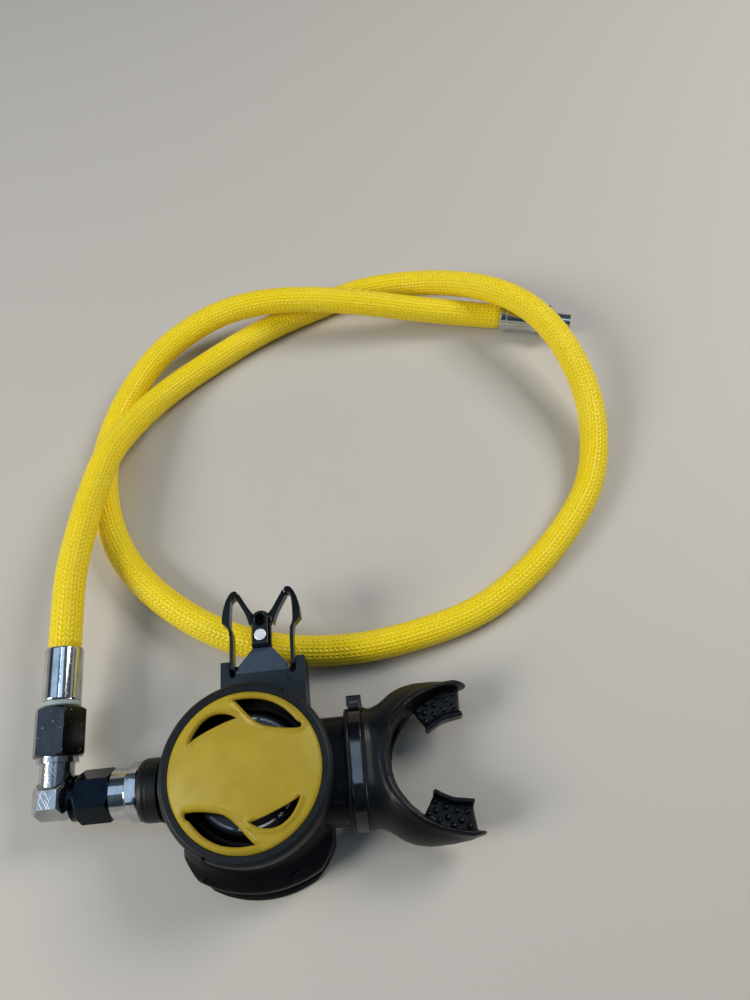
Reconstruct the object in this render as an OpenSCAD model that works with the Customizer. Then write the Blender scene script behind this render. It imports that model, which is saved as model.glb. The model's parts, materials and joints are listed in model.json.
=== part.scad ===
// Second stage of a diving regulator with its swivel elbow and low-pressure hose.
// Millimetres. The origin is on the drum's axis, at the surface the set lies on.
// +X points to the mouthpiece, +Y to the holder clip, +Z up through the purge cover.

/* [Drum] */
// Height of the inlet and mouthpiece axis above the surface
axis_z = 16; // [15.5:0.25:17]
// Outside radius of the drum
drum_r = 28.5; // [28:0.25:30]
// Wall thickness of the case
case_wall = 2.2; // [1.8:0.1:2.6]
// Height of the drum's rim, where the diaphragm is clamped
rim_z = 31; // [30.5:0.25:33]
// Thickness of the cover ring's threaded wall
ring_wall = 2.3; // [1.8:0.1:3]
// Width of the lip on top of the cover ring
ring_lip_w = 3.7; // [3.5:0.1:4.6]

/* [Purge cover] */
// Rise of the dome from its edge to the middle
dome_rise = 4.2; // [3:0.2:6]
// Wall thickness of the purge cover
cover_wall = 1.6; // [1.2:0.1:2]
// Travel of the purge cover when it is pressed
purge_travel = 2.5; // [1.5:0.1:2.6]

/* [Diaphragm] */
// Thickness of the diaphragm's clamped rim
rim_t = 1.2; // [1:0.1:1.6]
// Thickness of the diaphragm's sheet
sheet_t = 0.9; // [0.6:0.1:1.1]
// Radius of the stiff plate on the diaphragm
plate_r = 19.5; // [17:0.5:21]
// Thickness of the stiff plate
plate_t = 1; // [0.8:0.1:1.4]
// Thickness of the slip washer on the diaphragm's rim
washer_t = 1.5; // [1.2:0.1:2]

/* [Exhaust] */
// Reach of the exhaust hood in front of the drum's axis
hood_r = 38.2; // [37:0.2:40]
// How far behind the drum's axis the hood's arc is centred
hood_back = 6.8; // [5:0.2:8]
// Radius of the foot plate's front edge
foot_r = 40.2; // [39.6:0.2:41]
// Half of the exhaust hood's width between its flat sides
hood_half_w = 26.8; // [26:0.1:28]
// Thickness of the foot plate under the exhaust
foot_t = 3; // [2.5:0.25:3.5]
// Height of the open exhaust slot
slot_h = 5; // [4.5:0.25:5.5]
// Radius of the exhaust valve's seat hole
exhaust_hole_r = 6.4; // [5:0.2:6.6]
// Radius of the exhaust valve's rubber flap
flap_r = 7.4; // [7.2:0.1:7.6]
// Lift of the exhaust valve's flap
flap_lift = 1.2; // [0.8:0.1:1.5]

/* [Mouthpiece] */
// Half of the distance between the two round ends of the mouth tube
tube_half_y = 7; // [6:0.5:8]
// Outside radius of the mouth tube's round ends
tube_r = 12.6; // [12:0.2:13]
// Wall thickness of the mouthpiece's sleeve
sleeve_wall = 1.6; // [1.2:0.1:1.8]
// Height of the mouthpiece's lip shield
shield_h = 29; // [26:0.5:30]
// Thickness of the bite tabs
tab_t = 2.4; // [1.8:0.2:3.2]
// Width of the cable tie on the mouthpiece
tie_w = 4.5; // [3.5:0.5:5.5]

/* [Inlet] */
// Outside radius of the valve barrel inside the case
barrel_r = 6.5; // [6.2:0.1:6.8]
// Bore radius of the valve barrel
barrel_bore_r = 4.05; // [3.9:0.05:4.3]
// Width across the flats of the inlet fitting's hexagon
inlet_af = 19; // [18:0.5:20]
// Width across the flats of the swivel's coupling nut
coupling_af = 17; // [16.5:0.5:18]
// Radius of the inlet thread, 9/16 inch
inlet_thread_r = 7.14; // [6.9:0.02:7.2]
// Outside radius of the ribbed inlet collar
collar_r = 11.5; // [11:0.25:12.5]
// Length of the inlet collar
collar_l = 8.2; // [7.6:0.1:9]
// Length of the inlet fitting's hexagon
inlet_hex_l = 4.3; // [3.8:0.1:4.8]
// Length of the inlet fitting's round shoulder
inlet_round_l = 5.7; // [5.2:0.1:6.2]
// Length of the swivel's coupling nut
coupling_l = 15.3; // [14.4:0.1:16]

/* [Elbow and hose] */
// Side of the elbow's forged block
elbow_side = 14.6; // [14:0.2:15.6]
// Angle that the elbow leans up from the surface
elbow_lean = 5; // [4.8:0.1:5.2]
// Width across the flats of the hose nut
hose_nut_af = 17.5; // [17:0.25:18.5]
// Length of the hose nut
hose_nut_l = 18.4; // [17:0.2:18.6]
// Outside diameter of the braided hose
hose_d = 12.7; // [12:0.1:13]
// Radius of the crimped ferrules
ferrule_r = 7.35; // [7.2:0.05:7.6]
// Radius of the first-stage thread, 3/8 inch
port_thread_r = 4.76; // [4.6:0.02:4.9]
// Width across the flats of the far fitting's hexagon
port_af = 14.3; // [13:0.1:14.5]

/* [Holder clip] */
// Distance of the clip's middle line from the drum's axis
clip_x = 5.4; // [4:0.2:7]
// Outside width of the clip's bracket
bracket_w = 32.2; // [31:0.2:34]
// Height of the bracket's top above the surface
bracket_top = 30; // [29.5:0.25:30.5]
// Depth of the bracket's arms, top to bottom
bracket_depth = 14; // [12:0.5:16]
// Height of the prongs, top to bottom
prong_h = 5; // [4:0.5:6]
// Angle that a prong springs inwards
prong_flex = 2.5; // [1.5:0.5:4]

/* [Hidden] */
$fn = 64;

// Clearances
run_gap = 0.05;      // radial gap of a shaft that turns or slides in its bore
slip_gap = 0.2;      // gap between a moving piece and what it passes
seat_gap = 0.3;      // gap between a moving piece and the stop it rests near
big = 200;

// Stack of the drum, from the rim up
washer_z = rim_z + rim_t;
pocket_z = washer_z + washer_t;
flange_t = 1.3;
pocket_h = flange_t + purge_travel + 2 * slip_gap;
lip_t = 1.5;
lip_z = pocket_z + pocket_h;
ring_top = lip_z + lip_t;
ring_r = drum_r + slip_gap + ring_wall;
ring_skirt = 2;
step_r = drum_r - 0.3;
flange_r = step_r - slip_gap;
drum_in_r = drum_r - case_wall;
cover_r = ring_r - ring_lip_w - slip_gap;

// Dome of the purge cover
dome_edge_z = ring_top + 0.3;
dome_r = (pow(cover_r, 2) + pow(dome_rise, 2)) / (2 * dome_rise);
dome_top = dome_edge_z + dome_rise;
dome_mid = dome_top - dome_r;
border_w = 1.5;
border_rise = 0.6;

// Diaphragm
sheet_z = rim_z + 0.5;
plate_z = sheet_z + sheet_t;
boss_r = 3;

// Exhaust
web_y = 11;
shelf_z = 11;
shelf_t = 1.6;
hood_z = foot_t + slot_h;
hood_top = shelf_z + 5;
hood_arc_r = hood_r + hood_back;
hood_ease_r = hood_half_w + 1.7;
hood_ease_y = 0.374 * hood_r;
valve_y = web_y + flap_r + seat_gap;
valve_hub_r = 1.6;
valve_bulb_r = valve_hub_r + 0.5;
valve_bulb_z = shelf_z + shelf_t + flap_lift + slip_gap
    + sqrt(pow(valve_bulb_r, 2) - pow(valve_hub_r - slip_gap, 2));
flap_t = 0.9;

// Valve barrel, along X
pad_x = drum_in_r - 1.9;
pad_r = barrel_r + 3;
boss_x = drum_in_r + 8.4;
barrel_end = -6;
inlet_round_r = 8.9;
inlet_thread_l = 9;
hex_x1 = -boss_x - collar_l - 0.1;
hex_x0 = hex_x1 - inlet_hex_l;
shoulder_x = hex_x0 - inlet_round_l;
thread_x = shoulder_x - inlet_thread_l;
orifice_l = 9;
seat_x = hex_x1 + 7;
spring_stop = -9;
stem_r = 1.6;
pin_r = 0.75;
pin_x = barrel_end + 1.6;
pin_z = axis_z - 4.6;
fork_t = 1.2;
fork_face = pin_x + fork_t / 2;
lever_top = sheet_z - seat_gap;
lever_tip_x = pin_x + 11.4;

// Swivel, measured from the coupling nut to the elbow
nut_front = -shoulder_x + 0.1;
elbow_face = nut_front + coupling_l + seat_gap;
elbow_reach = elbow_face + elbow_side / 2;
stem_flange_r = 6.7;
stem_flange_x = thread_x - seat_gap;
stem_flange_t = 2.2;
stem_neck_r = 4.5;
nose_r = 3.9;
nose_l = 5;

// Hose side, measured along the elbow's outlet
neck_r = 6.4;
neck_end = 13;
nut_start = 15.2;
nut_end = nut_start + hose_nut_l;
gasket_t = 2;
ferrule_start = nut_end + seat_gap + gasket_t;
ferrule_end = 57;
far_ferrule_l = 20;
port_hex_l = 5.5;
port_neck_l = 2.4;
port_thread_l = 7.6;
far_turn = -15.5;

// Mouthpiece
sleeve_r = tube_r + sleeve_wall;
tube_end = 44;
sleeve_x = tube_end - 9.7;
tie_x = sleeve_x + 2;
tie_t = 1.1;
shield_mid_x = tube_end + 35;
shield_rx = 28;
shield_ry = 26.8;
shield_t = 2;
shield_tip = 3.6;
shield_end_r = 9.6;
// Curl of the shield: each step's lower and upper distance from the middle, and its set-back
shield_steps = [[0, 6, 0], [6, 10.5, 1.2], [10.5, shield_h / 2, 2.8]];
// Neck between sleeve and shield: distance from the tube's end, half width and radius
neck_steps = [[0, 7.2, 14.2], [3, 8.6, 13.8], [5.5, 10.5, 13.6], [8.5, 12.6, 13.7], [12.5, 14.1, 14],
    [18, 14.8, 14.4], [26, 14.7, 14.4], [34, 13.8, 14.4]];
tube_bore_r = tube_r - case_wall;

// Clip
post_w = 3.3;
post_end = 41.6;
base_end = 36.5;
plate_top = bracket_top - 0.4;
plate_h = 3;
tongue_t = 1.6;
prong_top = bracket_top + 1;
prong_z = prong_top - prong_h;
hub_half = 3.9;
hub_top = prong_top + 2.4;
hub_slope = 1;
hub_start = 45.8;
hub_end = 56.9;
rivet_y = 50.1;
rivet_r = 2.3;
loop_x = 10.6;
loop_y = 68.8;
loop_r = 1.3;
strip_t = 1.5;
strip_out = bracket_w / 2 - post_w - seat_gap;
strip_in = strip_out - strip_t;
slot_in = strip_in - 0.7;
foot_end = 38.2;
foot_swing = (loop_y - foot_end) * sin(prong_flex);

// The hose's route, from the near ferrule to the far one
route = [
    [-elbow_reach, 72, 22.3], [-elbow_reach, 90, 22.5], [-74, 110, 21.5], [-71, 130, 20], [-66, 150, 18.5],
    [-58, 168, 14], [-44, 188, 9], [-22, 207, 6.5], [5, 224, 6.5], [32, 236, 6.5],
    [60, 245, 7], [88, 243, 10.5], [114, 231, 18], [133, 215, 23.5], [146, 198, 24],
    [155, 178, 21], [160, 156, 15.5], [159, 134, 10], [152, 113, 7.2], [138, 94, 6.5],
    [118, 75, 6.5], [94, 60, 6.5], [66, 52, 6.5], [38, 49, 6.5], [10, 52, 6.5],
    [-17, 62, 6.5], [-42, 80, 6.5], [-60, 102, 6.5], [-70, 128, 6.5], [-72, 156, 6.5],
    [-64, 186, 7.5], [-46, 211, 12.5], [-20, 226, 18], [5, 231, 20.5], [32, 230, 20.5],
    [60, 227, 17], [86, 224, 12], [110, 221, 8.2]
];
hose_start = [
    -elbow_reach,
    ferrule_end * cos(elbow_lean),
    axis_z + ferrule_end * sin(elbow_lean)
];
hose_finish = [129.5, 217.2, ferrule_r];
hose_path = concat([hose_start], route, [hose_finish]);
hose_sides = 10;

// ---------- Functions ----------

function blend3(a, b, c, d, t) =
    pow(1 - t, 3) * a + 3 * pow(1 - t, 2) * t * b + 3 * (1 - t) * t * t * c + t * t * t * d;

// Points of a cubic curve, without its last point
function curve(a, b, c, d, n) = [for (i = [0:n - 1]) blend3(a, b, c, d, i / n)];

// Points of an arc, with both ends
function arc(mid, rx, ry, from, to, n) =
    [for (i = [0:n]) let (t = from + (to - from) * i / n) mid + [rx * cos(t), ry * sin(t)]];

function heading(p, i) =
    let (d = p[min(i + 1, len(p) - 1)] - p[max(i - 1, 0)]) d / norm(d);

function beside(p, w, i, s) = p[i] + s * w[i] / 2 * [-heading(p, i)[1], heading(p, i)[0]];

// Outline of a strip that follows the path p with the widths w
function ribbon(p, w) = concat(
    [for (i = [0:len(p) - 1]) beside(p, w, i, 1)],
    [for (i = [len(p) - 1:-1:0]) beside(p, w, i, -1)]
);

// A closed outline moved outwards by d
function grown(p, d) = [
    for (i = [0:len(p) - 1])
        let (
            a = p[(i + len(p) - 1) % len(p)],
            b = p[(i + 1) % len(p)],
            t = (b - a) / norm(b - a)
        )
        p[i] + d * [t[1], -t[0]]
];

function spline(a, b, c, d, t) =
    0.5 * (2 * b + (c - a) * t + (2 * a - 5 * b + 4 * c - d) * t * t
    + (3 * b - a - 3 * c + d) * t * t * t);

// Two rings for each stretch of the route, and one for its end
function smooth(p) = concat(
    [for (i = [0:len(p) - 2], k = [0, 0.5])
        spline(p[max(i - 1, 0)], p[i], p[i + 1], p[min(i + 2, len(p) - 1)], k)],
    [p[len(p) - 1]]
);

// Outlines of the two kinds of opening in the purge cover, anticlockwise, for this radius
leaf_drawn_r = 27.1;
long_leaf = concat(
    curve([-3.6, 24.2], [-0.5, 22], [3, 15], [8.5, 13.6], 8),
    curve([8.5, 13.6], [13, 12.4], [17, 12], [20, 12.2], 5),
    curve([20, 12.2], [21.2, 13], [20.6, 14.2], [19, 14.8], 3),
    curve([19, 14.8], [16, 18.5], [10.5, 26], [-3.6, 24.2], 10)
);
short_leaf = concat(
    curve([-19.3, 10.5], [-14, 13.4], [-9, 15.4], [-2.1, 17.4], 6),
    curve([-2.1, 17.4], [-7.5, 21.6], [-15.5, 20.6], [-19.3, 10.5], 10)
);

// ---------- Shared shapes ----------

// Round bar along X
module bar_x(r, from, to) {
    translate([from, 0, 0])
        rotate([0, 90, 0])
            cylinder(r = r, h = to - from);
}

// Hexagonal bar along X with a flat on top
module hex_bar_x(across, from, to) {
    translate([from, 0, 0])
        rotate([0, 90, 0])
            rotate([0, 0, 30])
                cylinder(r = across / sqrt(3), h = to - from, $fn = 6);
}

// Round bar along Y
module bar_y(r, from, to) {
    translate([0, from, 0])
        rotate([-90, 0, 0])
            cylinder(r = r, h = to - from);
}

// Turned shape along X: the profile holds [along, radius] points
module turned_x(profile) {
    rotate([0, 90, 0])
        rotate_extrude()
            polygon([for (p = profile) [p[1], p[0]]]);
}

// Turned shape along Y: the profile holds [along, radius] points
module turned_y(profile) {
    rotate([-90, 0, 0])
        rotate_extrude()
            polygon([for (p = profile) [p[1], p[0]]]);
}

// Hexagon with both ends chamfered, along X
module nut_x(across, from, to, chamfer) {
    intersection() {
        hex_bar_x(across, from, to);
        turned_x([
            [from, 0],
            [from, across / 2 - 0.2],
            [from + chamfer, across / sqrt(3)],
            [to - chamfer, across / sqrt(3)],
            [to, across / 2 - 0.2],
            [to, 0]
        ]);
    }
}

// O-ring around X
module o_ring_x(x, r, cord_r) {
    translate([x, 0, 0])
        rotate([0, 90, 0])
            rotate_extrude()
                translate([r, 0])
                    circle(r = cord_r, $fn = 24);
}

// O-ring around Y
module o_ring_y(y, r, cord_r) {
    translate([0, y, 0])
        rotate([-90, 0, 0])
            rotate_extrude()
                translate([r, 0])
                    circle(r = cord_r, $fn = 24);
}

// Oval with round ends, in the plane across X: its long side lies along Y
module oval(half_y, r) {
    square([2 * half_y, 2 * r], center = true);
    for (s = [-1, 1])
        translate([s * half_y, 0])
            circle(r = r);
}

// Oval bar along X
module oval_x(half_y, r, from, to) {
    translate([from, 0, 0])
        rotate([90, 0, 90])
            linear_extrude(height = to - from)
                oval(half_y, r);
}

module on_axis() {
    translate([0, 0, axis_z])
        children();
}

module on_hose_side() {
    translate([-elbow_reach, 0, axis_z])
        rotate([elbow_lean, 0, 0])
            children();
}

module on_far_end() {
    translate(hose_finish)
        rotate([0, 0, far_turn])
            children();
}

// ---------- Case ----------

// A disc with flat sides and eased corners in plan, in front of the web
module hood_plan(r, centre_y, half_w, back) {
    intersection() {
        translate([0, centre_y])
            circle(r = r);
        translate([0, -hood_ease_y])
            circle(r = hood_ease_r + half_w - hood_half_w);
        translate([-half_w, -big])
            square([2 * half_w, big - back]);
    }
}

// The hood's outside: a rounded lip, a shoulder and a hollow neck up to the ring
module hood_outside() {
    neck_in = drum_r - 1 + hood_back;
    neck_up = rim_z - ring_skirt - 1;
    lip_r = 2;
    shoulder = hood_arc_r - 4.6;
    profile = concat(
        [[0, hood_z], [hood_arc_r, hood_z]],
        arc([hood_arc_r - lip_r, hood_top - 4.4], lip_r, lip_r, 0, 70, 4),
        arc([shoulder, neck_up], shoulder - neck_in, neck_up - hood_top, -90, -180, 7),
        [[0, neck_up]]
    );
    intersection() {
        translate([0, hood_back, 0])
            rotate_extrude()
                polygon(profile);
        translate([0, 0, hood_z])
            linear_extrude(height = neck_up)
                hood_plan(hood_arc_r, hood_back, hood_half_w, 0);
    }
}

module snap_notch(x, y) {
    translate([x, y, hood_top - 1.4])
        rotate([0, 0, atan2(y, x) + 90])
            difference() {
                cube([5, 3, 4], center = true);
                translate([0.8, 0, 0])
                    cube([3.6, 1, 5], center = true);
            }
}

module case_outside() {
    difference() {
        union() {
            cylinder(r = drum_r, h = rim_z);
            hood_outside();
            // Block that carries the mouth tube
            translate([0, -13, 2])
                cube([sleeve_x - 1, 26, rim_z - ring_skirt - 3]);
            on_axis()
                oval_x(tube_half_y, tube_r, 0, tube_end);
            // Inlet boss
            on_axis()
                bar_x(collar_r - 1, -boss_x, 0);
            translate([-drum_r - 3, -13, 4])
                cube([drum_r, 26, rim_z - ring_skirt - 5]);
        }
        // Room for the exhaust cover in front of the web
        translate([-big / 2, -big - web_y, -1])
            cube([big, big, hood_z + 1]);
        translate([0, 0, -1])
            linear_extrude(height = shelf_z + 1)
                hood_plan(hood_arc_r - case_wall, hood_back, hood_half_w - case_wall, web_y);
        snap_notch(-17.8, -33.6);
        snap_notch(13, -33.8);
    }
}

// The breathing chamber inside the drum, behind the web and above the shelf
module chamber() {
    floor_back = web_y - case_wall;
    translate([0, 0, case_wall])
        intersection() {
            cylinder(r = drum_in_r, h = big);
            translate([-big / 2, -floor_back, 0])
                cube([big, big, big]);
        }
    translate([0, 0, shelf_z + shelf_t])
        cylinder(r = drum_in_r, h = big);
}

module exhaust_seat() {
    translate([0, -valve_y, shelf_z - 1])
        difference() {
            cylinder(r = exhaust_hole_r, h = shelf_t + 2);
            cylinder(r = valve_hub_r + 1.2, h = shelf_t + 2);
            for (a = [45, 135])
                rotate([0, 0, a])
                    translate([-exhaust_hole_r - 1, -0.7, 0])
                        cube([2 * exhaust_hole_r + 2, 1.4, shelf_t + 2]);
        }
    translate([0, -valve_y, shelf_z - 1])
        cylinder(r = valve_hub_r, h = shelf_t + 2);
}

module case_shell() {
    color("dimgray")
        difference() {
            union() {
                difference() {
                    case_outside();
                    chamber();
                }
                // Flat pad that the barrel's nut pulls on
                on_axis()
                    bar_x(pad_r, -drum_in_r - 1, -pad_x);
            }
            exhaust_seat();
            on_axis() {
                oval_x(tube_half_y, tube_bore_r, drum_in_r - 8, tube_end + 1);
                bar_x(barrel_r, -big / 2, -drum_in_r + 8);
            }
            // Screw thread for the cover ring, drawn as a relief below it
            translate([0, 0, rim_z - ring_skirt - 0.6])
                difference() {
                    cylinder(r = big / 2, h = big);
                    cylinder(r = drum_r, h = big);
                }
        }
}

module exhaust_cover() {
    color("dimgray")
        difference() {
            union() {
                linear_extrude(height = foot_t)
                    hood_plan(foot_r, 0, hood_half_w, web_y);
                linear_extrude(height = hood_z)
                    intersection() {
                        hood_plan(hood_arc_r, hood_back, hood_half_w, web_y);
                        union()
                            for (s = [-1, 1])
                                translate([s * (hood_half_w - case_wall / 2), -big / 2])
                                    square([case_wall, big], center = true);
                    }
            }
            // Rounded front lip: the plate's top edge falls away
            translate([0, 0, foot_t - 1])
                rotate_extrude()
                    polygon([
                        [foot_r - 1.2, 1.1],
                        [foot_r + 1, 1.1],
                        [foot_r + 1, -1.3]
                    ]);
        }
}

module exhaust_valve() {
    color("black")
        translate([0, -valve_y, 0]) {
            translate([0, 0, shelf_z - seat_gap - flap_t])
                cylinder(r = flap_r, h = flap_t);
            translate([0, 0, shelf_z - seat_gap - 0.1])
                cylinder(r = valve_hub_r - run_gap, h = valve_bulb_z - shelf_z);
            translate([0, 0, valve_bulb_z])
                sphere(r = valve_bulb_r, $fn = 24);
        }
}

// ---------- Cover ring, purge cover and diaphragm ----------

module cover_ring() {
    color("#2b2c2e")
        difference() {
            rotate_extrude()
                polygon([
                    [drum_r + slip_gap, rim_z - ring_skirt],
                    [ring_r - 0.8, rim_z - ring_skirt],
                    [ring_r, rim_z - ring_skirt + 1],
                    [ring_r, lip_z - 0.6],
                    [ring_r - 0.7, ring_top - 0.6],
                    [ring_r - 1.6, ring_top],
                    [cover_r + slip_gap, ring_top],
                    [cover_r + slip_gap, lip_z],
                    [step_r, lip_z],
                    [step_r, pocket_z],
                    [drum_r + slip_gap, pocket_z]
                ]);
            for (a = [62, 242])
                rotate([0, 0, a])
                    translate([ring_r - 1.4, -0.7, ring_top - 5])
                        cube([4, 1.4, 8]);
        }
}

module slip_washer() {
    color("dimgray")
        translate([0, 0, washer_z])
            difference() {
                cylinder(r = drum_r, h = washer_t);
                translate([0, 0, -1])
                    cylinder(r = drum_in_r, h = washer_t + 2);
            }
}

// Vertical prisms through the four openings
module leaves(grow) {
    for (turn = [0, 180])
        rotate([0, 0, turn])
            linear_extrude(height = big / 2)
                for (leaf = [long_leaf, short_leaf])
                    polygon(grown([for (p = leaf) p * cover_r / leaf_drawn_r], grow));
}

module dome(r, drop) {
    intersection() {
        cylinder(r = r, h = big);
        translate([0, 0, dome_mid])
            sphere(r = dome_r - drop, $fn = 200);
    }
}

module purge_cover() {
    flange_z = lip_z - slip_gap - flange_t;
    color("gold")
        difference() {
            union() {
                intersection() {
                    dome(cover_r, 0);
                    translate([0, 0, flange_z])
                        cylinder(r = cover_r, h = big);
                }
                translate([0, 0, flange_z])
                    cylinder(r = flange_r, h = flange_t);
                // Raised borders around the openings
                intersection() {
                    dome(cover_r - 0.6, -border_rise);
                    translate([0, 0, ring_top])
                        leaves(border_w);
                }
            }
            intersection() {
                dome(cover_r - cover_wall, cover_wall);
                translate([0, 0, flange_z - 1])
                    cylinder(r = cover_r - cover_wall, h = big);
            }
            leaves(0);
        }
    // Boss that presses on the diaphragm's plate
    color("gold")
        translate([0, 0, plate_z + plate_t + seat_gap])
            difference() {
                cylinder(r = boss_r, h = dome_top - cover_wall / 2 - plate_z - plate_t - seat_gap);
                translate([0, 0, -1])
                    cylinder(r = boss_r - 1, h = 4);
            }
}

module diaphragm() {
    conv_r = (plate_r + drum_in_r) / 2 + 0.2;
    color("#303236")
        rotate_extrude()
            polygon([
                [0, sheet_z],
                [plate_r + 0.6, sheet_z],
                [conv_r - 1, rim_z - 2],
                [conv_r + 1, rim_z - 2],
                [drum_in_r - 0.4, rim_z],
                [drum_r - 0.1, rim_z],
                [drum_r - 0.1, rim_z + rim_t],
                [drum_in_r + 0.2, rim_z + rim_t],
                [conv_r + 0.5, rim_z - 2 + sheet_t],
                [conv_r - 0.5, rim_z - 2 + sheet_t],
                [plate_r + 0.9, sheet_z + sheet_t],
                [0, sheet_z + sheet_t]
            ]);
}

module diaphragm_plate() {
    color("#4a4e55")
        translate([0, 0, plate_z])
            difference() {
                cylinder(r = plate_r, h = plate_t);
                translate([0, 0, plate_t - 0.3])
                    difference() {
                        cylinder(r = plate_r - 1.6, h = 1);
                        cylinder(r = boss_r + 2, h = 1);
                    }
            }
}

// ---------- Demand valve ----------

module inlet_barrel() {
    color("silver")
        on_axis()
            difference() {
                union() {
                    bar_x(inlet_thread_r, thread_x, shoulder_x + 1);
                    bar_x(inlet_round_r, shoulder_x, hex_x0 + 1);
                    intersection() {
                        hex_bar_x(inlet_af, hex_x0, hex_x1);
                        turned_x([
                            [hex_x0, 0],
                            [hex_x0, inlet_af / 2 - 0.3],
                            [hex_x0 + 1.2, inlet_af / sqrt(3) - 0.3],
                            [hex_x1, inlet_af / sqrt(3) - 0.3],
                            [hex_x1, 0]
                        ]);
                    }
                    bar_x(barrel_r, hex_x1 - 1, barrel_end);
                    // Ears that hold the lever's pin
                    for (s = [-1, 1])
                        translate([barrel_end - 1, s * 4 - 0.6, pin_z - axis_z - 1.8])
                            cube([pin_x - barrel_end + 2.6, 1.2, 3.6]);
                }
                bar_x(nose_r + run_gap, thread_x - 1, thread_x + nose_l + 0.6);
                bar_x(2.6, thread_x, spring_stop);
                bar_x(barrel_bore_r, seat_x - orifice_l, spring_stop);
                bar_x(stem_r + run_gap, spring_stop - 1, barrel_end + 1);
                // Window for the lever's heel
                translate([pin_x, 0, pin_z - axis_z])
                    rotate([90, 0, 0])
                        cylinder(r = pin_r, h = 20, center = true);
                // Air ports round the barrel
                for (a = [0, 90, 180, 270])
                    rotate([a, 0, 0])
                        translate([spring_stop - 8, 0, 0])
                            cylinder(r = 1.5, h = barrel_r + 1, $fn = 24);
            }
}

module lever_pin() {
    color("gray")
        translate([pin_x, 0, pin_z])
            rotate([90, 0, 0])
                cylinder(r = pin_r, h = 10.4, center = true);
}

module barrel_nut() {
    color("silver")
        on_axis()
            difference() {
                bar_x(barrel_r + 2, -pad_x, -pad_x + 3);
                bar_x(barrel_r, -pad_x - 1, -pad_x + 4);
                for (s = [-1, 1])
                    translate([-pad_x + 2, -1, s * (barrel_r + 2) - 1])
                        cube([2, 2, 2]);
            }
}

module inlet_collar() {
    rib_count = 5;
    pitch = 1.7;
    from = hex_x1 + 0.1;
    to = -boss_x;
    groove = 0.4;
    groove_depth = 0.25;
    color("#26272a")
        on_axis()
            difference() {
                turned_x([
                    [from, 0],
                    [from, collar_r - 1.4],
                    [from + 1.2, collar_r - 0.3],
                    [from + 2.4, collar_r],
                    [to, collar_r],
                    [to, 0]
                ]);
                bar_x(barrel_r, from - 1, to + 1);
                for (i = [1:rib_count])
                    if (from + i * pitch + groove < to)
                        translate([from + i * pitch, 0, 0])
                            difference() {
                                bar_x(collar_r + 1, 0, groove);
                                bar_x(collar_r - groove_depth, -1, groove + 1);
                            }
            }
}

module orifice() {
    color("goldenrod")
        on_axis()
            difference() {
                turned_x([
                    [seat_x - orifice_l, 0],
                    [seat_x - orifice_l, barrel_bore_r],
                    [seat_x - 2, barrel_bore_r],
                    [seat_x - 2, 3.1],
                    [seat_x, 2.5],
                    [seat_x, 0]
                ]);
                bar_x(2.1, seat_x - orifice_l - 1, seat_x + 1);
                translate([seat_x - orifice_l / 2, 0, 0])
                    rotate([0, 90, 0])
                        rotate_extrude()
                            translate([barrel_bore_r - 1, -0.7])
                                square([2, 1.4]);
            }
}

module orifice_o_ring() {
    color("black")
        on_axis()
            o_ring_x(seat_x - orifice_l / 2, barrel_bore_r - 0.5, 0.5);
}

module poppet() {
    body_end = seat_x + seat_gap + 8;
    color("white")
        on_axis() {
            difference() {
                intersection() {
                    bar_x(barrel_bore_r - run_gap, seat_x + seat_gap, body_end);
                    // Four flutes let the air past
                    rotate([0, 90, 0])
                        translate([0, 0, seat_x])
                            linear_extrude(height = 12)
                                difference() {
                                    circle(r = barrel_bore_r);
                                    for (a = [0, 90, 180, 270])
                                        rotate([0, 0, a])
                                            translate([barrel_bore_r, 0])
                                                circle(r = 1.3, $fn = 24);
                                }
                }
                bar_x(2.9, seat_x, seat_x + seat_gap + 1.6);
            }
            bar_x(stem_r, body_end, fork_face + seat_gap + 2.6);
        }
}

module poppet_seat() {
    color("black")
        on_axis()
            bar_x(2.9, seat_x + 0.1, seat_x + seat_gap + 1.6);
}

module poppet_lock_nut() {
    start = fork_face + seat_gap;
    color("silver")
        on_axis()
            difference() {
                nut_x(5, start, start + 2, 0.4);
                bar_x(stem_r, start - 1, start + 3);
            }
}

// Coil spring: a strip of rings round the stem, from the poppet to the stop
module poppet_spring() {
    from = seat_x + seat_gap + 8;
    to = spring_stop;
    wire_r = 0.4;
    coil_r = stem_r + 1.2;
    turns = 9;
    steps = turns * 12;
    function centre(i) = [
        from + wire_r + (to - from - 2 * wire_r) * i / steps,
        coil_r * cos(i * 30),
        coil_r * sin(i * 30)
    ];
    points = [
        for (i = [0:steps], k = [0:5])
            centre(i) + wire_r * [
                sin(k * 60),
                cos(k * 60) * cos(i * 30),
                cos(k * 60) * sin(i * 30)
            ]
    ];
    faces = concat(
        [[for (k = [5:-1:0]) k]],
        [for (i = [0:steps - 1], k = [0:5])
            [i * 6 + k, i * 6 + (k + 1) % 6, i * 6 + 6 + (k + 1) % 6, i * 6 + 6 + k]],
        [[for (k = [0:5]) steps * 6 + k]]
    );
    color("silver")
        on_axis()
            polyhedron(points, faces);
}

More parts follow.
